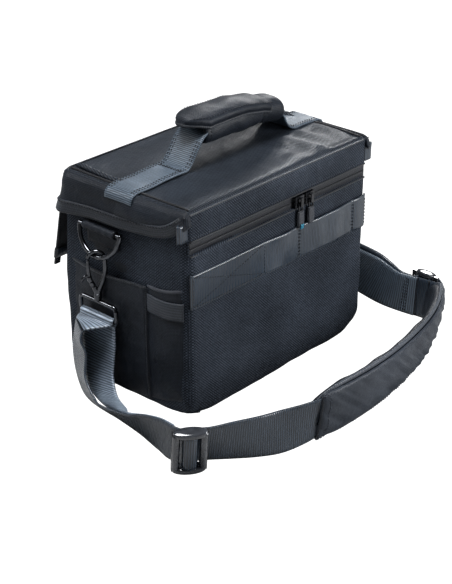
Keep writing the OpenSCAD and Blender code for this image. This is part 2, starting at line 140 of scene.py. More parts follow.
def fabric(name, grid, finish, wrap=False, capped=False, thick=0.0, flip=False, offset=-1.0):
    g = np.asarray(grid, float)
    rows, cols = g.shape[:2]
    ids = np.arange(rows * cols).reshape(rows, cols)
    full = np.hstack([ids, ids[:, :1]]) if wrap else ids
    ring = np.concatenate([g, g[:, :1]], axis=1) if wrap else g
    quads = np.stack([full[:-1, :-1], full[:-1, 1:], full[1:, 1:], full[1:, :-1]], axis=-1)
    quads = quads.reshape(-1, 4)
    u = np.concatenate([[0], np.cumsum(np.linalg.norm(np.diff(ring, axis=1), axis=2).mean(0))])
    v = np.concatenate([[0], np.cumsum(np.linalg.norm(np.diff(ring, axis=0), axis=2).mean(1))])
    vv, uu = np.meshgrid(v, u, indexing="ij")
    lay = np.stack([uu, vv], axis=-1)
    lay = np.stack([lay[:-1, :-1], lay[:-1, 1:], lay[1:, 1:], lay[1:, :-1]], axis=2)
    lay = lay.reshape(-1, 4, 2)
    if flip:
        quads, lay = quads[:, ::-1], lay[:, ::-1]
    faces = quads.tolist()
    lay = lay.reshape(-1, 2)
    if capped:
        for row, turn in ((0, True), (rows - 1, False)):
            loop = ids[row].tolist()
            faces.append(loop[::-1] if turn != flip else loop)
            lay = np.vstack([lay, np.tile([[u[-1] / 2, v[row]]], (cols, 1))])
    mesh = bpy.data.meshes.new(name)
    mesh.from_pydata((g.reshape(-1, 3) / 1000).tolist(), [], faces)
    layer = mesh.uv_layers.new(name="lay")
    layer.data.foreach_set("uv", (lay / 1000).astype(np.float32).ravel())
    mesh.polygons.foreach_set("use_smooth", [True] * len(faces))
    mesh.materials.append(finish)
    piece = bpy.data.objects.new(name, mesh)
    scene.collection.objects.link(piece)
    if thick:
        shell = piece.modifiers.new("thickness", "SOLIDIFY")
        shell.thickness, shell.offset = thick / 1000, offset
    return piece


def add_math(tree, kind, a, b=None):
    step = tree.nodes.new("ShaderNodeMath")
    step.operation = kind
    for k, x in enumerate((a, b)):
        if x is None:
            continue
        if isinstance(x, (int, float)):
            step.inputs[k].default_value = x
        else:
            tree.links.new(x, step.inputs[k])
    return step.outputs[0]


def new_group(name, numbers, outputs):
    group = bpy.data.node_groups.new(name, "ShaderNodeTree")
    for label, value in numbers:
        socket = group.interface.new_socket(label, in_out="INPUT", socket_type="NodeSocketFloat")
        socket.default_value = value
    for label in outputs:
        group.interface.new_socket(label, in_out="OUTPUT", socket_type="NodeSocketFloat")
    return group, group.nodes.new("NodeGroupInput"), group.nodes.new("NodeGroupOutput")


# Woven threads: over and under in turn, straight or on the slant, each thread a little
# lighter or darker than its neighbours.
threads, given, made = new_group(
    "threads", [("Width", 0.001), ("Length", 0.001), ("Slant", 0.0), ("Rib", 0.0)],
    ["Height", "Tone"])
lay_map = threads.nodes.new("ShaderNodeUVMap")
lay_map.uv_map = "lay"
parts = threads.nodes.new("ShaderNodeSeparateXYZ")
threads.links.new(lay_map.outputs["UV"], parts.inputs[0])
along = add_math(threads, "DIVIDE", add_math(threads, "ADD", parts.outputs[0], add_math(
    threads, "MULTIPLY", parts.outputs[1], given.outputs["Slant"])), given.outputs["Width"])
aside = add_math(threads, "DIVIDE", add_math(threads, "SUBTRACT", parts.outputs[1], add_math(
    threads, "MULTIPLY", parts.outputs[0], given.outputs["Slant"])), given.outputs["Length"])
warp = add_math(threads, "ABSOLUTE", add_math(threads, "SINE", add_math(
    threads, "MULTIPLY", along, math.pi)))
weft = add_math(threads, "ABSOLUTE", add_math(threads, "SINE", add_math(
    threads, "MULTIPLY", aside, math.pi)))
cell_u = add_math(threads, "FLOOR", along)
cell_v = add_math(threads, "FLOOR", aside)
over = add_math(threads, "FLOORED_MODULO", add_math(threads, "ADD", cell_u, cell_v), 2.0)
under = add_math(threads, "SUBTRACT", 1.0, over)
crown = add_math(threads, "ADD", add_math(threads, "MULTIPLY", over, warp),
                 add_math(threads, "MULTIPLY", under, weft))
plain = add_math(threads, "SUBTRACT", 1.0, given.outputs["Rib"])
crown = add_math(threads, "ADD", add_math(threads, "MULTIPLY", crown, plain),
                 add_math(threads, "MULTIPLY", warp, given.outputs["Rib"]))
low = add_math(threads, "MULTIPLY", warp, add_math(threads, "ADD", given.outputs["Rib"], add_math(
    threads, "MULTIPLY", weft, plain)))
threads.links.new(add_math(threads, "ADD", add_math(threads, "MULTIPLY", crown, 0.65),
                           add_math(threads, "MULTIPLY", low, 0.35)), made.inputs["Height"])
cells = threads.nodes.new("ShaderNodeCombineXYZ")
threads.links.new(cell_u, cells.inputs[0])
threads.links.new(cell_v, cells.inputs[1])
speck = threads.nodes.new("ShaderNodeTexWhiteNoise")
speck.noise_dimensions = "2D"
threads.links.new(cells.outputs[0], speck.inputs["Vector"])
own_tone = add_math(threads, "MULTIPLY", speck.outputs["Value"], 0.6)
threads.links.new(add_math(threads, "ADD", own_tone, add_math(threads, "MULTIPLY", over, 0.4)),
                  made.inputs["Tone"])

# Wear: broad rubbed and dusty patches, and small soft creases in the cloth.
wear, wear_in, wear_out = new_group("wear", [("Patch", 14.0), ("Crease", 45.0)], ["Rub", "Creases"])
place = wear.nodes.new("ShaderNodeTexCoord")
patch = wear.nodes.new("ShaderNodeTexNoise")
patch.inputs["Detail"].default_value = 3.0
wear.links.new(place.outputs["Object"], patch.inputs["Vector"])
wear.links.new(wear_in.outputs["Patch"], patch.inputs["Scale"])
wear.links.new(add_math(wear, "POWER", patch.outputs["Fac"], 1.6), wear_out.inputs["Rub"])
crease = wear.nodes.new("ShaderNodeTexNoise")
crease.inputs["Detail"].default_value = 2.0
crease.inputs["Distortion"].default_value = 0.6
wear.links.new(place.outputs["Object"], crease.inputs["Vector"])
wear.links.new(wear_in.outputs["Crease"], crease.inputs["Scale"])
wear.links.new(crease.outputs["Fac"], wear_out.inputs["Creases"])


def cloth(name, dark, light, width, length, slant, depth, rough, sheen, creases=0.0004,
          sheen_rough=0.4, gloss=0.5, rib=0.0):
    """A woven finish: painted shade between the threads, painted light on them, and a real lighter
    tone where it is rubbed.
    """
    finish = bpy.data.materials.new(name)
    finish.use_nodes = True
    tree = finish.node_tree
    skin = tree.nodes["Principled BSDF"]
    skin.inputs["Sheen Weight"].default_value = sheen
    skin.inputs["Sheen Roughness"].default_value = sheen_rough
    skin.inputs["Sheen Tint"].default_value = (0.75, 0.85, 1.0, 1)
    skin.inputs["Specular IOR Level"].default_value = gloss
    weave = tree.nodes.new("ShaderNodeGroup")
    weave.node_tree = threads
    weave.inputs["Width"].default_value = width / 1000
    weave.inputs["Length"].default_value = length / 1000
    weave.inputs["Slant"].default_value = slant
    weave.inputs["Rib"].default_value = rib
    worn = tree.nodes.new("ShaderNodeGroup")
    worn.node_tree = wear
    # Colour mix: painted shade between the threads and painted light on their crowns, from the
    # thread height, with each thread's own tone and real rubbed wear.
    thread_shade_and_wear = add_math(tree, "ADD", add_math(tree, "MULTIPLY", weave.outputs["Height"], 0.9),
                     add_math(tree, "MULTIPLY", weave.outputs["Tone"], 0.25))
    thread_shade_and_wear = add_math(tree, "ADD", thread_shade_and_wear, add_math(tree, "MULTIPLY", worn.outputs["Rub"], 0.6))
    thread_shade_and_wear = add_math(tree, "MAXIMUM", add_math(tree, "SUBTRACT", thread_shade_and_wear, 0.45), 0.0)
    albedo_mix = tree.nodes.new("ShaderNodeMix")
    albedo_mix.data_type = "RGBA"
    albedo_mix.inputs[6].default_value = (*dark, 1)
    albedo_mix.inputs[7].default_value = (*light, 1)
    tree.links.new(thread_shade_and_wear, albedo_mix.inputs[0])
    tree.links.new(albedo_mix.outputs[2], skin.inputs["Base Color"])
    tree.links.new(add_math(tree, "SUBTRACT", rough + 0.12, add_math(
        tree, "MULTIPLY", thread_shade_and_wear, 0.24)), skin.inputs["Roughness"])
    soft = tree.nodes.new("ShaderNodeBump")
    soft.inputs["Distance"].default_value = creases
    tree.links.new(worn.outputs["Creases"], soft.inputs["Height"])
    knit = tree.nodes.new("ShaderNodeBump")
    knit.inputs["Distance"].default_value = depth / 1000
    tree.links.new(weave.outputs["Height"], knit.inputs["Height"])
    tree.links.new(soft.outputs["Normal"], knit.inputs["Normal"])
    tree.links.new(knit.outputs["Normal"], skin.inputs["Normal"])
    return finish


ballistic = cloth("ballistic", (0.004, 0.005, 0.007), (0.088, 0.106, 0.138),
                  3.2, 3.2, 1.0, 0.40, 0.55, 0.02, gloss=0.12)


def rounded_outline(half_x, y_front, y_rear, r, step=4.0, corner=7):
    """Points and outward normals round a rectangle, from the rear left corner by the left."""
    arcs = []
    for cx, cy, first in ((-half_x + r, y_rear - r, 90), (-half_x + r, y_front + r, 180),
                          (half_x - r, y_front + r, 270), (half_x - r, y_rear - r, 0)):
        for k in range(corner + 1):
            a = math.radians(first + 90 * k / corner)
            arcs.append((cx + r * math.cos(a), cy + r * math.sin(a), math.cos(a), math.sin(a)))
    arcs = np.array(arcs)
    full = []
    for p, q in zip(arcs, np.roll(arcs, -1, 0)):
        gap = math.hypot(q[0] - p[0], q[1] - p[1])
        count = max(1, round(gap / step)) if gap > 1.5 * step else 1
        full += [p + (q - p) * k / count for k in range(count)]
    full = np.array(full)
    full[:, 2:] /= np.linalg.norm(full[:, 2:], axis=1, keepdims=True)
    return full[:, :2], full[:, 2:]


def end_puff(y, z):
    """How far the cloth of the ends stands out past the flat end face."""
    up = np.clip(np.asarray(z, float) / 205, 0, 1)
    side = 1 - (np.clip(np.asarray(y, float), -86, 86) / 88) ** 4
    return 2.4 * side * np.sin(math.pi * up) ** 0.6


def foot_inset(x, y, z):
    """How far the cloth turns in towards the base, more at its corners."""
    to_corner = np.hypot(np.abs(x) - HALF_W, np.abs(y) - HALF_D)
    foot = 13.0 + 15.0 * np.exp(-(to_corner / 20) ** 2)
    return foot - np.sqrt(np.maximum(foot ** 2 - np.maximum(foot - z, 0) ** 2, 0))


def tub_grid():
    """Rings of points up the tub, from its sole to the rim."""
    line, out = rounded_outline(HALF_W, -HALF_D, HALF_D, 8.0)
    rows = []
    heights = [0.0] + [32 * (1 - math.cos(a)) for a in np.linspace(0.13, math.pi / 2, 14)]
    heights += list(np.arange(36, 188, 4)) + [188, 189.5, 190.6, 191.4, 192.5, 198.5, 204.5,
                                              205.6, 206.4, 207.5, 210, 214, 218, 222, TUB_TOP]
    for z in heights:
        x, y = line[:, 0], line[:, 1]
        inset = foot_inset(x, y, z)
        up = math.sin(math.pi * min(z / 215, 1)) ** 0.6
        puff = np.abs(out[:, 0]) * end_puff(y, z)
        rear = np.clip(out[:, 1], 0, 1) * (1 - (np.clip(x, -140, 140) / 144) ** 4) * 4.5 * up
        front = np.clip(-out[:, 1], 0, 1) * (1 - (np.clip(x, -143, 143) / 144) ** 4) * 1.2 * up
        corner = np.exp(-((x + 141) ** 2 + (y - 85) ** 2) / 500) * 4.0 * up
        corner += np.exp(-((x - 141) ** 2 + (y - 85) ** 2) / 500) * 4.0 * up
        seam = np.zeros(len(x))
        for sx in (-1, 1):
            seam -= np.exp(-((x - sx * 142.3) ** 2 + (y + 86.3) ** 2) / 4.5) * 1.3
        flat = out[:, 1] < -0.85
        recess = np.where(flat & (z > ZIP_LOW - 0.4), -ZIP_RECESS, 0.0)
        if z > ZIP_HIGH:
            recess = np.where(flat, -BAND_RECESS, 0.0)
        move = puff + rear + front + corner + seam + recess - inset
        rows.append(np.column_stack([x + out[:, 0] * move, y + out[:, 1] * move,
                                     np.full(len(x), float(z))]))
    return np.array(rows)


tub_cloth = rumpled(rumpled(tub_grid(), 60, 1.6, 1, True), 17, 0.55, 2, True)
tub_cloth[0, :, 2] = 0.2
tub = fabric("tub", tub_cloth, ballistic, wrap=True, thick=1.6, flip=True)
sole_line = tub_cloth[0]
sole = fabric("sole", np.array([sole_line * [k, k, 1] for k in (1.0, 0.9, 0.6, 0.3, 0.02)]),
              ballistic, wrap=True)
for piece in (tub, sole):
    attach(piece, "root")
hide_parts("shell", "front_panel")

# ---- Rim, lining and dividers ----
# A padded roll closes the top of the foam walls. Inside is a brushed grey lining, with two
# foam dividers that part it in three bays.
ribbed = cloth("ribbed", (0.004, 0.005, 0.007), (0.046, 0.057, 0.075),
               2.7, 4.2, 0.45, 0.32, 0.42, 0.02, gloss=0.26, rib=0.7)
soft_black = cloth("soft_black", (0.003, 0.004, 0.006), (0.034, 0.043, 0.060),
                   1.6, 1.6, 0.0, 0.14, 0.44, 0.03, creases=0.0016, gloss=0.30)
brushed_lining = cloth("brushed_lining", (0.11, 0.12, 0.135), (0.20, 0.21, 0.23),
                       0.9, 0.9, 0.0, 0.10, 0.8, 0.6)
binding_tape = cloth("binding_tape", (0.008, 0.010, 0.014), (0.027, 0.033, 0.044),
                     1.2, 2.4, 0.0, 0.25, 0.45, 0.15)


def finish_piece(piece, body, slot, *stands_for):
    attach(piece, body)
    if stands_for:
        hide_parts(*stands_for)
    return piece


def curve_through(stations, per=6):
    """Points on a smooth curve through the stations, which may be points or pairs of points."""
    s = np.asarray(stations, float)
    ends = np.concatenate([[2 * s[0] - s[1]], s, [2 * s[-1] - s[-2]]])
    made = []
    for i in range(1, len(ends) - 2):
        a, b, c, d = ends[i - 1:i + 3]
        for t in np.arange(per) / per:
            made.append(0.5 * (2 * b + (c - a) * t + (2 * a - 5 * b + 4 * c - d) * t ** 2
                               + (3 * b - a - 3 * c + d) * t ** 3))
    made.append(s[-1])
    return np.array(made)


def tube_along(path, radius, sides=10, closed=False, squash=1.0):
    """Rings of points round a line; squash flattens the rings upright."""
    p = np.asarray(path, float)
    ahead = (np.roll(p, -1, 0) - np.roll(p, 1, 0)) if closed else np.gradient(p, axis=0)
    ahead /= np.linalg.norm(ahead, axis=1, keepdims=True)
    upright = np.where(np.abs(ahead[:, 2:]) > 0.9, [[0.0, 1.0, 0.0]], [[0.0, 0.0, 1.0]])
    side = np.cross(ahead, upright)
    side /= np.linalg.norm(side, axis=1, keepdims=True)
    upper = np.cross(side, ahead)
    radius = np.broadcast_to(radius, len(p))
    rings = []
    for k, q in enumerate(p):
        a = np.linspace(0, 2 * math.pi, sides, endpoint=False)
        rings.append(q + radius[k] * (np.cos(a)[:, None] * side[k]
                                      + squash * np.sin(a)[:, None] * upper[k]))
    if closed:
        rings.append(rings[0])
    return np.array(rings)


rim_line = rounded_outline(HALF_W - 4.6, -HALF_D + 5.4, HALF_D - 4.6, 9.0)[0]
rim_path = np.column_stack([rim_line, np.full(len(rim_line), 223.6)])
rim = fabric("rim_roll", rumpled(tube_along(rim_path, 4.4, 12, True, 0.8), 12, 0.5, 3, True),
             soft_black, wrap=True)
finish_piece(rim, "root", "soft_black")

inner_line = rounded_outline(HALF_W - 10, -HALF_D + 19, HALF_D - 10, 9.0)[0]
inner_rows = [np.column_stack([inner_line, np.full(len(inner_line), z)])
              for z in np.linspace(222, 22, 42)]
for shrink, z in ((0.998, 17), (0.985, 15.2), (0.8, 15), (0.5, 15), (0.02, 15)):
    inner_rows.append(np.column_stack([inner_line * shrink, np.full(len(inner_line), float(z))]))
inner_rows = rumpled(inner_rows, 45, 1.2, 4, True)
finish_piece(fabric("lining_wrap", inner_rows, brushed_lining, wrap=True, thick=1.0), "root",
             "lining", "lining", "foam_walls", "base_board", "base_pad")


def padded_faces(grid, up, down, edge, crown=0.0):
    """The two faces of a stuffed form over a sheet: round at the edge and fuller inside."""
    g = np.asarray(grid, float)
    n = normals_of(g)
    u = np.concatenate([[0], np.cumsum(np.linalg.norm(np.diff(g, axis=1), axis=2).mean(0))])
    v = np.concatenate([[0], np.cumsum(np.linalg.norm(np.diff(g, axis=0), axis=2).mean(1))])
    near = np.minimum(np.minimum(u, u[-1] - u)[None], np.minimum(v, v[-1] - v)[:, None])
    round_off = np.sqrt(1 - (1 - np.clip(near / edge, 0, 1)) ** 2)
    hump = (1 - (2 * u / u[-1] - 1)[None] ** 2) * (1 - (2 * v / v[-1] - 1)[:, None] ** 2)
    return (g + n * ((up + crown * hump) * round_off)[..., None],
            g - n * (down * round_off)[..., None])


def joined(name, upper, lower, finish):
    """One closed piece from two faces that share their border."""
    top = fabric(name, upper, finish)
    under = fabric(name + "_under", lower, finish, flip=True)
    form = bmesh.new()
    form.from_mesh(top.data)
    form.from_mesh(under.data)
    bmesh.ops.remove_doubles(form, verts=form.verts, dist=2e-6)
    bmesh.ops.recalc_face_normals(form, faces=form.faces)
    form.to_mesh(top.data)
    form.free()
    bpy.data.objects.remove(under)
    top.data.polygons.foreach_set("use_smooth", [True] * len(top.data.polygons))
    return top


for side, word in ((-1, "left"), (1, "right")):
    yy, zz = np.meshgrid(np.linspace(-68, 76, 46), np.linspace(16, 192, 52))
    sheet = np.stack([np.full(yy.shape, side * 46.0), yy, zz], axis=-1)
    faces = padded_faces(rumpled(sheet, 50, 1.5, 5 + side), 4.2, 4.2, 6)
    divider = joined("divider_pad_" + word, *faces, brushed_lining)
    finish_piece(divider, "root", "lining", "divider_" + word)

# ---- Front zip, upper band and stitching ----
# A coil zip crosses the front between two folded and topstitched edges. The band over it is
# part of the wall up to the lid's front seam.
zip_tape = cloth("zip_tape", (0.008, 0.009, 0.011), (0.040, 0.044, 0.054),
                 0.7, 0.7, 0.0, 0.10, 0.38, 0.1)
thread_grey = cloth("thread_grey", (0.030, 0.033, 0.042), (0.075, 0.082, 0.10),
                    0.5, 0.5, 0.0, 0.05, 0.5, 0.3)
thread_black = cloth("thread_black", (0.004, 0.004, 0.006), (0.014, 0.015, 0.019),
                     0.5, 0.5, 0.0, 0.05, 0.5, 0.2)


def stitched(name, runs, finish, body, long=2.6, gap=1.4, fat=0.42):
    """Thread stitches along lines of points with their outward normals."""
    verts, faces = [], []
    for points, normals in runs:
        p = np.asarray(points, float)
        n = np.broadcast_to(np.asarray(normals, float), p.shape)
        n = n / np.linalg.norm(n, axis=1, keepdims=True)
        run = np.concatenate([[0], np.cumsum(np.linalg.norm(np.diff(p, axis=0), axis=1))])
        for k in range(int(run[-1] / (long + gap))):
            at = k * (long + gap) + gap / 2 + np.array([0, 0.2, 0.8, 1]) * long
            q = np.stack([np.interp(at, run, p[:, i]) for i in range(3)], axis=1)
            up = np.array([np.interp(at[1], run, n[:, i]) for i in range(3)])
            ahead = q[3] - q[0]
            aside = np.cross(ahead, up)
            aside /= max(np.linalg.norm(aside), 1e-9)
            first = len(verts)
            verts.append(q[0])
            for j in (1, 2):
                verts += [q[j] + aside * fat, q[j] + up * fat, q[j] - aside * fat,
                          q[j] - up * fat * 0.5]
            verts.append(q[3])
            for j in range(4):
                m = (j + 1) % 4
                faces += [(first, first + 1 + m, first + 1 + j),
                          (first + 1 + j, first + 1 + m, first + 5 + m, first + 5 + j),
                          (first + 9, first + 5 + j, first + 5 + m)]
    mesh = bpy.data.meshes.new(name)
    mesh.from_pydata((np.array(verts) / 1000).tolist(), [], faces)
    mesh.uv_layers.new(name="lay")
    mesh.polygons.foreach_set("use_smooth", [True] * len(faces))
    mesh.materials.append(finish)
    piece = bpy.data.objects.new(name, mesh)
    scene.collection.objects.link(piece)
    if body:
        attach(piece, body)
    return piece


def track(grid, rows, cols, lift=0.15, flip=False, count=160):
    """A line across a sheet from (rows[0], cols[0]) to (rows[-1], cols[-1]), as shares of it."""
    g = np.asarray(grid, float)
    n = normals_of(g) * (-1 if flip else 1)
    t = np.linspace(0, 1, count)
    r = np.interp(t, np.linspace(0, 1, len(rows)), rows) * (g.shape[0] - 1)
    c = np.interp(t, np.linspace(0, 1, len(cols)), cols) * (g.shape[1] - 1)
    r0 = np.clip(r.astype(int), 0, g.shape[0] - 2)
    c0 = np.clip(c.astype(int), 0, g.shape[1] - 2)
    fr, fc = (r - r0)[:, None], (c - c0)[:, None]
    made = []
    for field in (g, n):
        made.append(field[r0, c0] * (1 - fr) * (1 - fc) + field[r0 + 1, c0] * fr * (1 - fc)
                    + field[r0, c0 + 1] * (1 - fr) * fc + field[r0 + 1, c0 + 1] * fr * fc)
    return made[0] + made[1] * lift, made[1]


band_x = np.linspace(-143.4, 143.4, 144)
band_z = np.array([205.9, 206.2, 207, 208.2, 210, 213, 216, 219, 222, 225, 228, 231, 233.5,
                   235, 235.8, 236.2])
xx, zz = np.meshgrid(band_x, band_z)
edge = np.minimum(143.4 - np.abs(xx), 6) / 6
belly = 1.5 * np.sin(math.pi * np.clip((zz - 206) / 30, 0, 1)) * (1 - (xx / 144) ** 6)
turn_in = 2.2 * np.clip((zz - 233.5) / 2.7, 0, 1) ** 2 + 0.9 * np.clip((207 - zz), 0, 1)
yy = -88.4 - belly + turn_in + 2.6 * (1 - np.sqrt(1 - (1 - edge) ** 2))
band = np.stack([xx, yy, zz], axis=-1)
calm = np.clip((zz - 206.5) / 5, 0, 1) * np.clip((235 - zz) / 5, 0, 1) * edge
fold_here = calm * np.exp(-((xx - 45) / 65) ** 2)
band = rumpled(band, 17, 2.2, 7, mask=fold_here, stretch=(0.9, 1, 2.0))
band = rumpled(band, 38, 2.0, 8, mask=calm)
upper_band = fabric("front_upper_band", band, ballistic, thick=1.4, offset=0)
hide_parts("front_band")
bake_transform(upper_band)

for low, high in ((ZIP_LOW - 1, ZIP_MID - 0.9), (ZIP_MID + 0.9, ZIP_HIGH + 1)):
    xx, zz = np.meshgrid(np.linspace(-142, 142, 143), np.linspace(low, high, 7))
    yy = -86.7 - 0.5 * np.cos((zz - ZIP_MID) / 8.5 * math.pi / 2)
    word = "lower" if low < 195 else "upper"
    half = fabric("front_zip_tape_" + word, np.stack([xx, yy, zz], -1), zip_tape, thick=0.7,
                  offset=0)
    finish_piece(half, "root", "zip_tape", "front_zip_tape")
coil_x = np.arange(-141, 141, 0.45)
coil_path = np.column_stack([coil_x, np.full(len(coil_x), -86.6),
                             np.full(len(coil_x), ZIP_MID)])
coil_radius = 1.0 + 0.35 * np.sin(coil_x * 2 * math.pi / 1.8)
finish_piece(fabric("front_zip_coil", tube_along(coil_path, coil_radius, 8), thread_black,
                    wrap=True, capped=True), "root", "zip_tape")

for z, y, word in ((ZIP_LOW - 0.6, -88.9, "lower"), (ZIP_HIGH + 0.5, -88.7, "upper")):
    lip_x = np.linspace(-141.5, 141.5, 120)
    lip = np.column_stack([lip_x, y - 0.7 * (1 - (lip_x / 144) ** 4), np.full(120, z)])
    finish_piece(fabric("front_zip_lip_" + word, tube_along(lip, 1.1, 8), zip_tape, wrap=True,
                        capped=True), "root", "ballistic")
x = np.linspace(-139, 139, 200)
lower_seam = np.column_stack([x, -89.3 - 0.35 * (1 - (x / HALF_W) ** 4), np.full(200, 187.0)])
stitched("front_zip_stitches", [(lower_seam, (0, -1, 0))], thread_grey, "root")
upper_seam = track(band, [4.1 / 15, 4.1 / 15], [0.01, 0.99], 0.85, count=300)
stitched("band_stitches", [upper_seam], thread_grey, "root")

# ---- Front webbing ----
# A 38 mm band of ribbed nylon webbing, boxed and crossed at its left end and tacked upright
# further on, so that clips hook behind the loose stretches between the tacks.
webbing = cloth("webbing", (0.006, 0.008, 0.012), (0.062, 0.084, 0.114),
                2.4, 9.0, 0.0, 0.14, 0.29, 0.06, creases=0.0003, sheen_rough=0.3, gloss=0.9,
                rib=1.0)
WEB_LOW, WEB_HIGH, WEB_MID = 132.6, 170.6, 151.6
TACKS = (-142.0, -31.0, 25.0, 118.0, 142.0)
xx, zz = np.meshgrid(np.linspace(-143, 143, 150), np.linspace(WEB_LOW, WEB_HIGH, 15))
slack = np.zeros(xx.shape)
for low, high, fall in zip(TACKS[:-1], TACKS[1:], (0.5, 2.6, 3.4, 1.6)):
    inside = np.clip((xx - low) / (high - low), 0, 1)
    slack += fall * np.sin(math.pi * inside) ** 0.8
corner_in = 2.4 * (1 - np.sqrt(np.clip(1 - np.clip((np.abs(xx) - 139) / 4.2, 0, 1) ** 2, 0, 1)))
yy = -90.6 - slack + corner_in
loose = np.clip(slack / 2.0, 0, 1)
loose = loose * (1 - 0.85 * np.abs((zz - WEB_MID) / 19) ** 3)
web_sheet = rumpled(np.stack([xx, yy, zz], -1), 22, 3.4, 11, mask=loose, stretch=(1, 1, 9))
finish_piece(fabric("front_webbing_band", web_sheet, webbing, thick=1.8, offset=0), "root",
             "webbing", "front_webbing")
cols = [(x + 143) / 286 for x in (-140, -33, -31, 25, 27, 118, 120, 141)]
runs = [track(web_sheet, [a, b], [c, d], 1.0, count=60) for a, b, c, d in (
    (0.06, 0.06, cols[0], cols[1]), (0.94, 0.94, cols[0], cols[1]),
    (0.06, 0.94, cols[0], cols[1]), (0.94, 0.06, cols[0], cols[1]),
    (0.05, 0.95, cols[2], cols[2]), (0.05, 0.95, cols[3], cols[3]),
    (0.05, 0.95, cols[4], cols[4]), (0.05, 0.95, cols[5], cols[5]),
    (0.05, 0.95, cols[6], cols[6]), (0.05, 0.95, cols[0], cols[0]),
    (0.05, 0.95, cols[7], cols[7]))]
stitched("front_webbing_stitches", runs, thread_black, "root", fat=0.5)

# ---- Ends: pockets, elastic, ring patches and corner tabs ----
# Each end has a flat pocket with a stitched hem and a folded front edge, a gusset in front of
# it held by a wide elastic, and above them a padded patch that carries the ring.
elastic = cloth("elastic", (0.018, 0.021, 0.027), (0.060, 0.070, 0.088),
                0.9, 3.0, 0.0, 0.18, 0.42, 0.15)


def on_end(side, yy, zz, out):
    """Points at a height over the cloth of one end."""
    face = HALF_W + end_puff(yy, zz) - foot_inset(HALF_W, yy, zz)
    return np.stack([side * (face + out), yy, zz], axis=-1)


